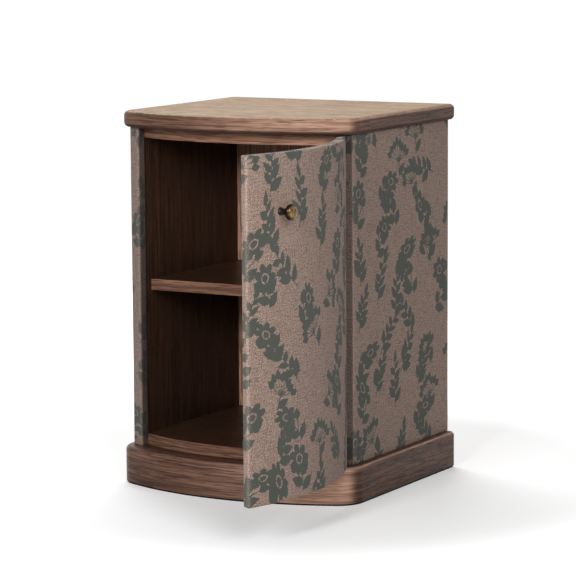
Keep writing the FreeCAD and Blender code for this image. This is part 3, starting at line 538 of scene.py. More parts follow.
def cloth_mesh(name, grids):
    """One mesh from grids of points and cloth coordinates, with a UV map in metres."""
    points = np.concatenate([grid.reshape(-1, 3) for grid, _ in grids])
    coords = np.concatenate([grid.reshape(-1, 2) for _, grid in grids])
    firsts = np.cumsum([0] + [grid[..., 0].size for grid, _ in grids])
    faces = np.concatenate(
        [grid_faces(grid.shape, first) for (grid, _), first in zip(grids, firsts)]
    )
    mesh = bpy.data.meshes.new(name)
    mesh.vertices.add(len(points))
    mesh.vertices.foreach_set("co", points.astype(np.float32).ravel())
    mesh.loops.add(faces.size)
    mesh.loops.foreach_set("vertex_index", faces.astype(np.int32).ravel())
    mesh.polygons.add(len(faces))
    mesh.polygons.foreach_set("loop_start", np.arange(0, faces.size, 4, dtype=np.int32))
    mesh.update(calc_edges=True)
    mesh.shade_smooth()
    unrolled = mesh.uv_layers.new(name="unrolled")
    unrolled.uv.foreach_set("vector", coords[faces.ravel()].astype(np.float32).ravel())
    return mesh, coords


def store(mesh, name, values):
    """Keeps one number per point on the mesh, for its material to read."""
    layer = mesh.attributes.new(name, "FLOAT", "POINT")
    layer.data.foreach_set("value", values.astype(np.float32))


def cloth_area(mesh):
    """The mesh's area in square metres."""
    areas = np.zeros(len(mesh.polygons), np.float32)
    mesh.polygons.foreach_get("area", areas)
    return float(areas.sum())


def lay_cloth(name, grids, folds, shade_plan, seed):
    """Makes a cloth piece, inks its print and marks where it is paler along the folds and where
    shade is painted on.

    The paler band, partly rubbed wear and partly a painted highlight, fades over a few
    millimetres on each side of a fold, by exp(-(distance / width) ** 2). The shading argument
    lists distances along the cloth and the share of painted shade at each, with straight
    slopes between them.
    """
    mesh, coords = cloth_mesh(name, grids)
    store(mesh, "ink", print_field(coords, seed) / MM)
    off = np.min(np.abs(coords[:, :1] - np.array(folds)[None]), axis=1)
    store(mesh, "worn_and_lit", np.exp(-((off / WORN_AND_LIT_WIDTH) ** 2)))
    # The share of painted shade along the cloth, kept for its material.
    store(mesh, "painted_shade", np.interp(coords[:, 0], *shade_plan))
    piece = bpy.data.objects.new(name, mesh)
    scene.collection.objects.link(piece)
    print(name, len(mesh.polygons), "quads,", round(cloth_area(mesh), 4), "square metres")
    return piece


# %% The three cloths
EDGE_RUN, EDGE_FALL = 24 * MM, 12 * MM
# Painted shade on the side cloths: how fast it fades in, its share just inside the front edges,
# on the right front edge beside the hinge, and on the left front edge.
SHADE_FADE = 2 * MM
RETURN_SHADE, HINGE_SHADE, FRONT_SHADE = 0.8, 0.62, 0.3
RIGHT_SEED, LEFT_SEED, DOOR_SEED = 11, 23, 37

side_round, door_round = float(right_walked[-1]), float(door_walked[-1])
front_fold = float(right_walked[np.argmin(right_line[:, 1])])
outer_fold = front_fold + math.hypot(EDGE_RUN, EDGE_FALL)
right_folds = [front_fold, outer_fold, side_round - (side_high[0] - side_low[0])]
left_folds = [side_round - fold for fold in right_folds]
door_folds = [door_thick, door_round - door_thick]

shade_walk = np.array([front_fold - SHADE_FADE, front_fold, outer_fold - SHADE_FADE, outer_fold])
right_shade = shade_walk, [RETURN_SHADE, HINGE_SHADE, HINGE_SHADE, 0]
left_shade = side_round - shade_walk[::-1], [0, FRONT_SHADE, FRONT_SHADE, RETURN_SHADE]
no_shade = [0], [0]
right_cloth = lay_cloth("right_side_cloth", [right_sheet], right_folds, right_shade, RIGHT_SEED)
left_cloth = lay_cloth("left_side_cloth", [left_sheet], left_folds, left_shade, LEFT_SEED)
door_cloth = lay_cloth("door_cloth", door_grids, door_folds, no_shade, DOOR_SEED)

# %% Where each cloth rides and how it was cut
side_tall = ceiling_z - floor_z
door_tall = door_top - door_bottom + 2 * (door_thick + CLOTH_THICK)
for piece, body, node, core, flat in (
    (right_cloth, "cabinet", "right_side_fabric", "right_side_core", (side_round, side_tall)),
    (left_cloth, "cabinet", "left_side_fabric", "left_side_core", (side_round, side_tall)),
    (door_cloth, "door", "door_fabric", "door_core", (door_round, door_tall)),
):
    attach(piece, body)
    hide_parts(node)
    cut = min(cloth_area(piece.data), flat[0] * flat[1])
    print(piece.name, "is cut from", [round(side, 3) for side in flat], "m")

# %% [markdown]
# ## The knob
#
# The knob is two turned pieces: a brass dome with a narrow rim, and a dark stem that
# flares where it meets the door and again under the dome. A lathe turns such a shape, and
# so does this code: a profile of distances out from the door and radii is spun about
# the knob's axis. The ends of the profile are single points, so the piece is closed.

# %% Turning a piece
SPIN_CUTS = 72
KNOB_ANGLE = math.radians(-15)
KNOB_HEIGHT = 496 * MM

knob_foot = np.append(opened(on_bow(BOW_RADIUS, KNOB_ANGLE)), KNOB_HEIGHT)
knob_end = np.append(opened(on_bow(2 * BOW_RADIUS, KNOB_ANGLE)), KNOB_HEIGHT)
knob_axis = (knob_end - knob_foot) / BOW_RADIUS
knob_up = np.array([0.0, 0.0, 1.0])
knob_across = np.cross(knob_up, knob_axis)


def turn_piece(name, out, radius):
    """Spins a profile about the knob's axis: foot + out * axis + radius * (cos, sin).

    The first and last points of the profile lie on the axis and become the poles. Each
    point keeps how far it is off the axis, as a share of the widest radius.
    """
    spin = np.linspace(0, 2 * math.pi, SPIN_CUTS, endpoint=False)[:, None]
    spoke = np.cos(spin) * knob_across + np.sin(spin) * knob_up
    centre = knob_foot + out[:, None] * knob_axis
    rings = centre[1:-1, None] + radius[1:-1, None, None] * spoke[None]
    points = np.concatenate([centre[:1], rings.reshape(-1, 3), centre[-1:]])
    number = 1 + np.arange(rings[..., 0].size).reshape(rings.shape[:2])
    ahead = np.roll(number, -1, axis=1)
    wall = np.stack([number[:-1], ahead[:-1], ahead[1:], number[1:]], axis=-1).reshape(-1, 4)
    poles = np.zeros_like(number[0]), np.full_like(number[0], len(points) - 1)
    foot = np.stack([poles[0], ahead[0], number[0]], axis=-1)
    crown = np.stack([poles[1], number[-1], ahead[-1]], axis=-1)
    mesh = bpy.data.meshes.new(name)
    mesh.from_pydata(points.tolist(), [], wall.tolist() + foot.tolist() + crown.tolist())
    mesh.shade_smooth()
    off_axis = np.concatenate([radius[:1], np.repeat(radius[1:-1], SPIN_CUTS), radius[-1:]])
    store(mesh, "off_axis", off_axis / radius.max())
    piece = bpy.data.objects.new(name, mesh)
    scene.collection.objects.link(piece)
    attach(piece, "door")
    print(name, len(mesh.polygons), "faces")
    return piece


print("knob points along", knob_axis.round(3))

# %% Dome and stem
NECK_LONG, NECK_RADIUS, NECK_POINTS = 18.5 * MM, 4.6 * MM, 40
FOOT_FLARE, HEAD_FLARE = (1.65 * MM, 3.2 * MM), (0.9 * MM, 3 * MM)
DOME_RADIUS, DOME_RIM, DOME_RISE = 12 * MM, 1.5 * MM, 8 * MM
DOME_BEVEL, DOME_POINTS = 0.3 * MM, 25


def flare(off, height, reach):
    """How far a turned piece swells at a distance off: height * exp(-(off / reach) ** 2)."""
    return height * np.exp(-((off / reach) ** 2))


swell = np.linspace(0, math.pi / 2, DOME_POINTS)
base_out, base_radius = [0, 0, DOME_BEVEL], [0, DOME_RADIUS - DOME_BEVEL, DOME_RADIUS]
dome_out = NECK_LONG + np.concatenate([base_out, DOME_RIM + DOME_RISE * np.sin(swell)])
dome_radius = np.concatenate([base_radius, DOME_RADIUS * np.cos(swell)])
knob_dome = turn_piece("knob_dome", dome_out, dome_radius)
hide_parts("knob_head")

along = np.linspace(0, NECK_LONG, NECK_POINTS)
neck = NECK_RADIUS + flare(along, *FOOT_FLARE) + flare(NECK_LONG - along, *HEAD_FLARE)
neck_out = np.concatenate([[0], along, [NECK_LONG]])
knob_neck = turn_piece("knob_neck", neck_out, np.concatenate([[0], neck, [0]]))
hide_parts("knob_stem")

# %% [markdown]
# ## Finishes: a few helpers
#
# A finish is a tree of shader nodes. These helpers add one node with its settings and
# join its inputs, so that each finish below reads as a list of what it is made of. A
# group is a small tree with named inputs and outputs that several finishes share.

# %% Node helpers
def put(tree, kind, inputs=(), **settings):
    """Adds a node. inputs maps an input's name or number to a value or another socket."""
    node = tree.nodes.new("ShaderNode" + kind)
    for name, value in settings.items():
        setattr(node, name, value)
    for key, value in dict(inputs).items():
        if isinstance(value, bpy.types.NodeSocket):
            tree.links.new(value, node.inputs[key])
        else:
            node.inputs[key].default_value = value
    return node


def sums(tree, operation, first, second=0.0, third=0.0):
    """One step of arithmetic between two or three values."""
    return put(tree, "Math", {0: first, 1: second, 2: third}, operation=operation).outputs[0]


def span(tree, value, low, high, start=0.0, end=1.0):
    """Eases a value between low and high into the range from start to end."""
    inputs = {0: value, 1: low, 2: high, 3: start, 4: end}
    return put(tree, "MapRange", inputs, interpolation_type="SMOOTHSTEP").outputs[0]


def tint(tree, share, first, second):
    """Lays the second colour over the first, by a share."""
    return put(tree, "Mix", {0: share, 6: first, 7: second}, data_type="RGBA").outputs[2]


def grainy(tree, place, scale, detail=2.0, rough=0.5, warp=0.0):
    """Noise from 0 to 1 at a place."""
    inputs = {"Vector": place, "Scale": scale, "Detail": detail}
    inputs |= {"Roughness": rough, "Distortion": warp}
    return put(tree, "TexNoise", inputs).outputs["Fac"]


print("five helpers place nodes")

# %% Group and finish helpers
def new_group(name, takes, gives):
    """A node group with named inputs and outputs. Returns it with its two end nodes."""
    group = bpy.data.node_groups.new(name, "ShaderNodeTree")
    for way, sockets in (("INPUT", takes), ("OUTPUT", gives)):
        for socket, kind in sockets:
            group.interface.new_socket(socket, in_out=way, socket_type="NodeSocket" + kind)
    return group, group.nodes.new("NodeGroupInput").outputs, group.nodes.new("NodeGroupOutput")


def give(group, end, **results):
    """Joins a group's results to its outputs."""
    for name, socket in results.items():
        group.links.new(socket, end.inputs[name])


def use_group(tree, group, inputs):
    """Places a group in a tree with its own values, and returns its outputs."""
    return put(tree, "Group", inputs, node_tree=group).outputs


def new_finish(name, **constants):
    """A material with one Principled shader, whose plain numbers are set on its own sockets."""
    finish = bpy.data.materials.new(name)
    finish.use_nodes = True
    shader = finish.node_tree.nodes["Principled BSDF"]
    for socket, value in constants.items():
        shader.inputs[socket.replace("_", " ")].default_value = value
    return finish, finish.node_tree, shader


def feed(tree, shader, height, depth, **sockets):
    """Joins a relief, depth metres deep, and other named sockets to a shader."""
    bump = put(tree, "Bump", {"Height": height, "Distance": depth}).outputs[0]
    for name, socket in {"Normal": bump, **sockets}.items():
        tree.links.new(socket, shader.inputs[name.replace("_", " ")])


def srgb(red, green, blue):
    """A colour as a screen shows it, 0 to 255, in the linear light that shaders use."""
    level = np.array([red, green, blue]) / 255
    return (*np.where(level > 0.04045, ((level + 0.055) / 1.055) ** 2.4, level / 12.92), 1.0)


print("dark grey in linear light:", [round(float(v), 4) for v in srgb(64, 64, 64)])

# %% [markdown]
# ## Linen weave
#
# The ground cloth is a plain weave with uneven yarns: thick slubs run some way along a
# thread and then stop. Two ripples at right angles, each fading where the other rises,
# make the over and under, and long noise along each way makes the slubs.

# %% Weave group
YARN_PITCH = 1.3 * MM
SLUB_ACROSS, SLUB_ALONG = 700, 45
SLUBS, FLECKS = (1.0, 2.0, 0.6), (460.0, 2.0, 0.75)  # scale, detail and roughness of the noise

weave, takes, end = new_group(
    "linen_weave",
    [("Place", "Vector")],
    [("Relief", "Float"), ("Slub", "Float"), ("Fleck", "Float")],
)
apart = put(weave, "SeparateXYZ", {0: takes["Place"]}).outputs
warp_wave = sums(weave, "SINE", sums(weave, "MULTIPLY", apart[0], math.pi / YARN_PITCH))
weft_wave = sums(weave, "SINE", sums(weave, "MULTIPLY", apart[1], math.pi / YARN_PITCH))
crossing = sums(weave, "MULTIPLY", warp_wave, weft_wave)
relief = sums(weave, "ABSOLUTE", crossing)
slubs = []
for stretch in ((SLUB_ACROSS, SLUB_ALONG, 1), (SLUB_ALONG, SLUB_ACROSS, 1)):
    stretched = put(weave, "Mapping", {"Vector": takes["Place"], "Scale": stretch}).outputs[0]
    slubs.append(grainy(weave, stretched, *SLUBS))
slub = sums(weave, "MULTIPLY_ADD", slubs[0], 0.5, sums(weave, "MULTIPLY", slubs[1], 0.5))
fleck = grainy(weave, takes["Place"], *FLECKS)
give(weave, end, Relief=sums(weave, "ADD", relief, slub), Slub=slub, Fleck=fleck)
print("yarns are", YARN_PITCH / MM, "mm apart")

# %% [markdown]
# ## Printed linen
#
# The dark ink sits on the high yarns and misses some low ones, so the edge of a motif is
# ragged and its middle is not solid. The field stored on the cloth is moved a
# little by the weave before it is cut at zero. Along the folds the cloth is paler, partly
# rubbed wear and partly a painted highlight. On the front edges of the sides and just
# inside them, shade is painted on as a darker colour.

# %% Printed linen
GROUND = srgb(152, 128, 115)
GROUND_DEEP = srgb(111, 86, 75)
GROUND_PALE = srgb(199, 176, 162)
INK = srgb(72, 76, 69)
INK_THIN = srgb(102, 99, 90)
# The colour of the painted shade on the cloth.
PAINTED_SHADE_BROWN = srgb(34, 28, 25)
FLECK_RAG, SLUB_RAG, INK_EDGE = 2.4, 2.0, 0.35  # in millimetres
SLUB_SHADE, FLECK_SHADE = (0.38, 0.58), (0.5, 0.64, 0, 0.85)
WORN_AND_LIT_SPAN, WORN_AND_LIT_ON_INK, INK_SHADE = (0.35, 0.75, 0.05, 0.55), 0.7, (0.45, 0.75, 0, 0.6)
YARN_DEEP = 0.35 * MM

printed_linen, tree, shader = new_finish(
    "printed_linen", Roughness=0.9, Sheen_Weight=0.12, Sheen_Roughness=0.5, Specular_IOR_Level=0.2
)
unrolled = put(tree, "UVMap", uv_map="unrolled").outputs[0]
yarns = use_group(tree, weave, {"Place": unrolled})
ink_field, worn_and_lit, painted_shade = (
    put(tree, "Attribute", attribute_name=name).outputs["Fac"]
    for name in ("ink", "worn_and_lit", "painted_shade")
)
fleck_rag = sums(tree, "MULTIPLY_ADD", yarns["Fleck"], FLECK_RAG, -FLECK_RAG / 2)
slub_rag = sums(tree, "MULTIPLY_ADD", yarns["Slub"], SLUB_RAG, -SLUB_RAG / 2)
ragged = sums(tree, "ADD", fleck_rag, slub_rag)
inked = span(tree, sums(tree, "ADD", ink_field, ragged), INK_EDGE, -INK_EDGE)
ground = tint(tree, span(tree, yarns["Slub"], *SLUB_SHADE), GROUND_DEEP, GROUND)
ground = tint(tree, span(tree, yarns["Fleck"], *FLECK_SHADE), ground, GROUND_PALE)
# Paler along the folds: partly wear and partly a painted highlight.
worn_and_lit_share = sums(tree, "MULTIPLY", worn_and_lit, span(tree, yarns["Fleck"], *WORN_AND_LIT_SPAN))
ground = tint(tree, worn_and_lit_share, ground, GROUND_PALE)
ink = tint(tree, span(tree, yarns["Fleck"], *INK_SHADE), INK, INK_THIN)
ink = tint(tree, sums(tree, "MULTIPLY", worn_and_lit_share, WORN_AND_LIT_ON_INK), ink, GROUND_PALE)
# Painted shade: the cloth darkens by the share stored on it.
cloth = tint(tree, painted_shade, tint(tree, inked, ground, ink), PAINTED_SHADE_BROWN)
feed(tree, shader, yarns["Relief"], YARN_DEEP, Base_Color=cloth)
for piece in (right_cloth, left_cloth, door_cloth):
    piece.data.materials.append(printed_linen)
print("printed linen is on three cloths")

# %% [markdown]
# ## Oak
#
# The wood is oak with a brown finish. Four kinds of mark show at once: broad bands from
# the growth rings, thin dark lines of late wood, fine fibres, and short dark pores that
# the stain has filled. All are long along the grain, so one group takes a place that is
# already squeezed along the grain, and each board gives it that place turned to its own
# direction.

# %% Oak group
# Noise is given as scale, detail, roughness and distortion.
BANDS, BAND_SHADE, BAND_ROUGH = (1.0, 3.0, 0.55, 0.6), (0.36, 0.64), (0.2, 0.8, 0.28, 0.36)
FIBRES, FIBRE_SHADE, FIBRE_RELIEF = (6.5, 2.0, 0.6), (0.35, 0.65, 0, 0.6), 0.3
LATE_WOOD, LATE_EDGE, LATE_SHARE = (3.4, 1.0, 0.5, 0.3), (0.51, 0.58), 0.62
PORES, PORE_EDGE, PORE_SHARE, PORE_ROUGH = (12.0, 1.0, 0.5), (0.55, 0.66), 0.8, 0.25

oak, takes, end = new_group(
    "oak_grain",
    [("Place", "Vector"), ("Pale", "Color"), ("Deep", "Color"), ("Pore", "Color")],
    [("Colour", "Color"), ("Relief", "Float"), ("Rough", "Float")],
)
bands = grainy(oak, takes["Place"], *BANDS)
fibres = grainy(oak, takes["Place"], *FIBRES)
late = span(oak, grainy(oak, takes["Place"], *LATE_WOOD), *LATE_EDGE)
pores = span(oak, grainy(oak, takes["Place"], *PORES), *PORE_EDGE)
wood = tint(oak, span(oak, bands, *BAND_SHADE), takes["Deep"], takes["Pale"])
wood = tint(oak, span(oak, fibres, *FIBRE_SHADE), wood, takes["Deep"])
wood = tint(oak, sums(oak, "MULTIPLY", late, LATE_SHARE), wood, takes["Pore"])
wood = tint(oak, sums(oak, "MULTIPLY", pores, PORE_SHARE), wood, takes["Pore"])
relief = sums(oak, "SUBTRACT", sums(oak, "MULTIPLY", fibres, FIBRE_RELIEF), pores)
rough = sums(oak, "MULTIPLY_ADD", pores, PORE_ROUGH, span(oak, bands, *BAND_ROUGH))
give(oak, end, Colour=wood, Relief=relief, Rough=rough)
print("oak group takes a place squeezed along the grain")

# %% Making an oak finish
ALONG, ACROSS = 2.6, 95.0
LEFT_RIGHT, LEVEL = (ALONG, ACROSS, ACROSS), (ALONG, ALONG, ACROSS)
UPRIGHT = (ACROSS, ACROSS, ALONG)
UP_FACE, OAK_SHINE, GRAIN_DEEP = 0.8, 0.1, 0.25 * MM
ALONG_BOW, PAST_CORNER = (-0.25, 0.5), (0.99, 0.75)
# Colours of the painted light along the bow.
PAINTED_LIGHT_BROWNS = srgb(210, 168, 146), srgb(176, 138, 118), srgb(120, 92, 78)
# Upper rims are paler, partly wear and partly a painted highlight, in patches.
RIM_STARTS, RIM_ENDS = (0.3, 0.55), (0.97, 0.8)
PATCH_SCALE, PATCH_WEAR_AND_HIGHLIGHT = 40.0, (0.4, 0.7, 0, 0.5)
# Rims that look down: their normals, how much rougher, and how much painted shade.
UNDER_RIM, UNDER_DULL, UNDER_PAINTED_SHADE = (-0.1, -0.5), 0.5, 0.8


def either(tree, choice, first, second):
    """The first place where choice is 0, the second where it is 1."""
    return put(tree, "Mix", {0: choice, 4: first, 5: second}, data_type="VECTOR").outputs[1]


def oak_finish(name, colours, ways, up_colours=None, up_dull=0.0, painted_light_share=0.7):
    """Oak on Object coordinates. ways are the grain on faces that look up, ahead and sideways.

    Upper rims, where the face looks neither up nor level, are paler, partly rubbed wear and
    partly a painted highlight, and rims that look down are dull and painted darker as shade.
    Along the bow a painted light lightens the wood, more and more as the face turns to the
    right, up to the share given as the last argument, and past the corner it is dark again.
    Faces that look up have up_colours and are up_dull rougher.
    """
    finish, tree, shader = new_finish(name, Specular_IOR_Level=OAK_SHINE)
    where = put(tree, "TexCoord").outputs
    up, ahead, sideways = (
        put(tree, "Mapping", {"Vector": where["Object"], "Scale": way}).outputs[0]
        for way in ways
    )
    facing = put(tree, "SeparateXYZ", {0: where["Normal"]}).outputs
    upright = sums(tree, "ABSOLUTE", facing[2])
    lies_flat = sums(tree, "GREATER_THAN", upright, UP_FACE)
    looks_up = sums(tree, "GREATER_THAN", facing[2], UP_FACE)
    turned_out = sums(tree, "ABSOLUTE", facing[0])
    looks_sideways = sums(tree, "GREATER_THAN", turned_out, sums(tree, "ABSOLUTE", facing[1]))
    place = either(tree, lies_flat, either(tree, looks_sideways, ahead, sideways), up)
    # Painted light: the bow is lightened as it turns to the right, but not past the corner nor on
    # faces that look up or down.
    painted_light = span(tree, facing[0], *ALONG_BOW, 0, painted_light_share)
    for off_bow in (facing[0], upright):
        painted_light = sums(tree, "MULTIPLY", painted_light, span(tree, off_bow, *PAST_CORNER))
    shades = [
        tint(tree, painted_light, tint(tree, looks_up, level, raised), pale)
        for level, raised, pale in zip(colours, up_colours or colours, PAINTED_LIGHT_BROWNS)
    ]
    marks = use_group(tree, oak, dict(zip(("Pale", "Deep", "Pore", "Place"), (*shades, place))))
    # Upper rims are paler: partly wear and partly a painted highlight where the rounding meets
    # the light.
    lit_worn_rim = span(tree, facing[2], *RIM_STARTS)
    lit_worn_rim = sums(tree, "MULTIPLY", lit_worn_rim, span(tree, facing[2], *RIM_ENDS))
    patchy = span(tree, grainy(tree, where["Object"], PATCH_SCALE), *PATCH_WEAR_AND_HIGHLIGHT)
    under = span(tree, facing[2], *UNDER_RIM)
    rough = sums(tree, "MULTIPLY_ADD", looks_up, up_dull, marks["Rough"])
    rough = sums(tree, "MULTIPLY_ADD", under, UNDER_DULL, rough)
    wood = tint(tree, sums(tree, "MULTIPLY", lit_worn_rim, patchy), marks["Colour"], shades[0])
    # Painted shade: rims that look down are darkened.
    wood = tint(tree, sums(tree, "MULTIPLY", under, UNDER_PAINTED_SHADE), wood, colours[2])
    feed(tree, shader, marks["Relief"], GRAIN_DEEP, Base_Color=wood, Roughness=rough)
    return finish


print("a band of the grain is about", round(1 / ALONG, 2), "m long")

# %% The oak of each part
# Up faces of the top: bleached, and lighter still as painted light from above.
BLEACHED_AND_LIT_BROWNS = srgb(180, 149, 108), srgb(155, 122, 85), srgb(100, 75, 52)
OAK_BROWNS = srgb(124, 91, 73), srgb(90, 63, 50), srgb(50, 33, 27)
# The inside is one oak in lit and shaded copies: inner walls and shelf tops darker as painted
# shade, the back panel and the front edges of the inner boards lighter as painted light.
INNER_SHADED_BROWNS = srgb(84, 58, 43), srgb(62, 42, 31), srgb(37, 25, 19)
BACK_LIT_BROWNS = srgb(192, 147, 121), srgb(156, 115, 94), srgb(99, 71, 58)
SHELF_LIT_BROWNS = srgb(150, 110, 88), srgb(116, 82, 65), srgb(67, 46, 37)
RAW_WOODS = srgb(206, 178, 138), srgb(184, 150, 108), srgb(140, 108, 74)

BOARD_WAYS, PANEL_WAYS = (LEFT_RIGHT, LEVEL, LEVEL), (LEFT_RIGHT, UPRIGHT, UPRIGHT)

top_oak = oak_finish("top_oak", OAK_BROWNS, BOARD_WAYS, BLEACHED_AND_LIT_BROWNS, up_dull=0.2)
plinth_oak = oak_finish("plinth_oak", OAK_BROWNS, BOARD_WAYS, painted_light_share=1.0)
shaded_inner_oak = oak_finish("shaded_inner_oak", INNER_SHADED_BROWNS, PANEL_WAYS)
lit_back_oak = oak_finish("lit_back_oak", BACK_LIT_BROWNS, PANEL_WAYS)
lit_edge_shelf_oak = oak_finish("lit_edge_shelf_oak", SHELF_LIT_BROWNS, BOARD_WAYS, INNER_SHADED_BROWNS, painted_light_share=0.15)
raw_wood = oak_finish("raw_wood", RAW_WOODS, BOARD_WAYS)
print("six oak finishes made")

# %% [markdown]
# ## Metal, plastic and sheet
#
# Hinge parts are plain dark steel with fine brushing, and the knob's stem is bronze. The
# catch is dull and dark, the sheet under the plinth is dull and near black as a painted
# shadow line beneath the plinth, and the door's core is plain board. Each is noise in two
# sizes. The dome is brass that has browned in patches, and towards its rim it is darker,
# partly patina where fingers seldom rub and partly a painted dark reflection, so its finish
# also reads how far a point lies from the knob's axis.

# %% Metal and plastic finishes
BROAD, FINE, FINE_TIMES = (3.0, 0.6), (2.0, 0.6), 7  # detail and roughness of the noise
FINE_SHARE, SPOT_EDGE, SPOT_DEEP = 0.35, (0.5, 0.85), 0.05 * MM


def spotted_finish(name, colours, scale, rough, metal=0.0, stretch=(1, 1, 1), shine=0.5):
    """A finish that wanders between two colours and two roughnesses in soft spots."""
    finish, tree, shader = new_finish(name, Metallic=metal, Specular_IOR_Level=shine)
    where = put(tree, "TexCoord").outputs["Object"]
    where = put(tree, "Mapping", {"Vector": where, "Scale": stretch}).outputs[0]
    broad = grainy(tree, where, scale, *BROAD)
    fine = grainy(tree, where, FINE_TIMES * scale, *FINE)
    spots = span(tree, sums(tree, "MULTIPLY_ADD", fine, FINE_SHARE, broad), *SPOT_EDGE)
    colour, roughness = tint(tree, spots, *colours), span(tree, spots, 0, 1, *rough)
    feed(tree, shader, fine, SPOT_DEEP, Base_Color=colour, Roughness=roughness)
    return finish


dark_bronze = spotted_finish(
    "dark_bronze", (srgb(50, 42, 36), srgb(28, 24, 21)), 220.0, (0.32, 0.5), 0.8
)
steel = spotted_finish(
    "steel", (srgb(118, 115, 110), srgb(86, 83, 79)), 90.0, (0.34, 0.5), 1.0, (1, 1, 9)
)
catch_plastic = spotted_finish(
    "catch_plastic", (srgb(70, 58, 50), srgb(56, 46, 40)), 400.0, (0.5, 0.62)
)
# Near black, a painted shadow line beneath the plinth.
black_sheet = spotted_finish(
    "black_sheet", (srgb(26, 25, 24), srgb(16, 16, 16)), 300.0, (0.8, 0.95), shine=0.1
)
core_board = spotted_finish(
    "core_board", (srgb(178, 150, 116), srgb(150, 122, 90)), 350.0, (0.75, 0.9)
)
print("metal, plastic and board finishes made")

# %% Aged brass
BRASS_BRIGHT, BRASS_BROWN, BRASS_PATINA_AND_REFLECTION = srgb(132, 105, 70), srgb(94, 74, 50), srgb(34, 27, 21)
PATCHES, PATCH_SHADE = (170.0, 3.0, 0.6), (0.35, 0.65)
SCUFFS, SCUFF_SHARE, SCUFF_DEEP = (1400.0, 2.0, 0.6), 0.4, 0.02 * MM
BROWN_SHARE, BROWN_EDGE, BRASS_ROUGH = 0.3, (0.75, 1.12), (0.4, 1.0, 0.2, 0.34)

aged_brass, tree, shader = new_finish("aged_brass", Metallic=1.0)
where = put(tree, "TexCoord").outputs["Object"]
off_axis = put(tree, "Attribute", attribute_name="off_axis").outputs["Fac"]
patches = grainy(tree, where, *PATCHES)
scuffs = grainy(tree, where, *SCUFFS)
brass = tint(tree, span(tree, patches, *PATCH_SHADE), BRASS_BROWN, BRASS_BRIGHT)
# Towards the rim the brass darkens: partly patina and partly a painted dark reflection.
patina_and_reflection = sums(tree, "MULTIPLY_ADD", patches, BROWN_SHARE, off_axis)
brass = tint(tree, span(tree, patina_and_reflection, *BROWN_EDGE), brass, BRASS_PATINA_AND_REFLECTION)
scuffed = sums(tree, "MULTIPLY_ADD", scuffs, SCUFF_SHARE, patches)
brass_rough = span(tree, scuffed, *BRASS_ROUGH)
feed(tree, shader, scuffs, SCUFF_DEEP, Base_Color=brass, Roughness=brass_rough)
knob_dome.data.materials.append(aged_brass)
knob_neck.data.materials.append(dark_bronze)
print("the dome browns towards its rim")

# %% Dressing the solids
DRESSING = {
    top_oak: ["top_slab"],
    plinth_oak: ["plinth_front", "plinth_left", "plinth_right", "plinth_back"],
    shaded_inner_oak: ["left_side_core", "right_side_core", "door_lining"],
    lit_back_oak: ["back_panel"],
    lit_edge_shelf_oak: ["carcass_top", "carcass_bottom", "shelf", "plinth_deck"],
    raw_wood: ["corner_blocks"],
    core_board: ["door_core"],
    black_sheet: ["base_sheet"],
    printed_linen: ["left_side_fabric", "right_side_fabric", "door_fabric"],
    aged_brass: ["knob_head"],
    dark_bronze: ["knob_stem"],
    catch_plastic: ["catch_body"],
}
dressed = {node: finish for finish, nodes in DRESSING.items() for node in nodes}
for name, solid in frame["nodes"].items():
    solid.data.materials.clear()
    solid.data.materials.append(dressed.get(name, steel))
print("all of steel:", sorted(set(frame["nodes"]) - set(dressed)))

# %% [markdown]
# ## Floor and white ground
#
# The table stands on a white studio floor that runs on to a white ground, with a soft
# shadow. A lit white floor alone would be grey far from the lamps, so part of what the
# camera sees of it is a steady glow that grows to plain white away from the table. The
# rest is lit as usual, which keeps the shadow.

# %% Floor
FLOOR_HALF = 60.0
WHITE, FLOOR_GREY = (1, 1, 1, 1), (0.8, 0.8, 0.8, 1)
NEAR_GLOW, FAR_GLOW = 0.3, 1.0
SHADOW_REACH = (0.5, 0.9)

floor_corners = np.array([[-1, -1, 0], [1, -1, 0], [1, 1, 0], [-1, 1, 0]]) * FLOOR_HALF
floor_mesh = bpy.data.meshes.new("floor")
floor_mesh.from_pydata(floor_corners.tolist(), [], [(0, 1, 2, 3)])
floor = bpy.data.objects.new("floor", floor_mesh)
scene.collection.objects.link(floor)


def seen_by_eye(tree):
    """1 on rays that show the ground itself: to the camera, in a gloss or through glass."""
    path = put(tree, "LightPath").outputs
    gloss = sums(tree, "MAXIMUM", path["Is Glossy Ray"], path["Is Transmission Ray"])
    return sums(tree, "MAXIMUM", path["Is Camera Ray"], gloss)


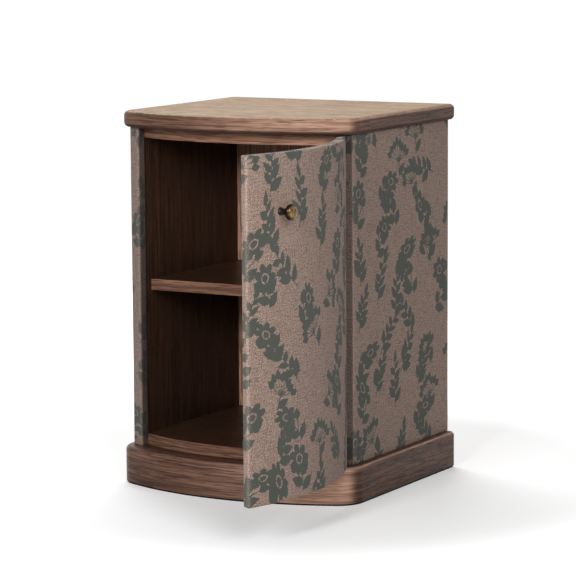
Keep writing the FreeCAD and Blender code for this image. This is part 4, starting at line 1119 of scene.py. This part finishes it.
studio_white, tree, shader = new_finish("studio_white", Roughness=1.0, Specular_IOR_Level=0.0)
shader.inputs["Base Color"].default_value = FLOOR_GREY
shader.inputs["Emission Color"].default_value = WHITE
where = put(tree, "TexCoord").outputs["Object"]
reach = put(tree, "VectorMath", {0: where}, operation="LENGTH").outputs["Value"]
glow = span(tree, reach, *SHADOW_REACH, NEAR_GLOW, FAR_GLOW)
glow = sums(tree, "MULTIPLY", seen_by_eye(tree), glow)
tree.links.new(glow, shader.inputs["Emission Strength"])
floor.data.materials.append(studio_white)
print("floor reaches", FLOOR_HALF, "m each way")

# %% [markdown]
# ## Light
#
# The main light stands almost ahead, high enough for the top and the shelf to shade the
# cupboard's back, and a weak lamp beside it fills in. A lamp further to the right shines
# on the bow and the door, and over the door's top on to the cupboard's inner wall. A lamp
# high up behind brightens the top and throws the short shadow towards the camera. The
# cupboard stays dark inside, so hardly any light comes from all round.

# %% World
AMBIENT = 0.03

world = bpy.data.worlds.new("white_ground")
scene.world = world
world.use_nodes = True
tree = world.node_tree
level = span(tree, seen_by_eye(tree), 0, 1, AMBIENT, 1.0)
background = tree.nodes["Background"]
background.inputs["Color"].default_value = WHITE
tree.links.new(level, background.inputs["Strength"])
print("ambient light", AMBIENT)

# %% Lamps
AIM = (0.05, -0.1, 0.32)
LAMPS = {  # turn, rise, reach, size and watts
    "key": (7, 21, 3.2, 0.8, 59),
    "front": (-2, 24, 3.2, 1.1, 7),
    "right": (43, 24, 2.6, 1.0, 28),
    "back_top": (-142, 48, 2.6, 1.5, 53),
}


def softbox(name, turn, rise, reach, size, watts):
    """A square lamp that looks at the table, from a turn to the right of the front and a rise.

    Both are in degrees. reach is how far it stands from the table and size its side, in metres.
    """
    turn, rise = math.radians(turn), math.radians(rise)
    lamp = bpy.data.lights.new(name, "AREA")
    lamp.size = size
    lamp.energy = watts
    holder = bpy.data.objects.new(name, lamp)
    scene.collection.objects.link(holder)
    holder.matrix_world = (
        Matrix.Translation(AIM)
        @ Matrix.Rotation(turn, 4, "Z")
        @ Matrix.Rotation(math.pi / 2 - rise, 4, "X")
        @ Matrix.Translation((0, 0, reach))
    )


for name, settings in LAMPS.items():
    softbox(name, *settings)
print("lamps placed:", list(LAMPS))
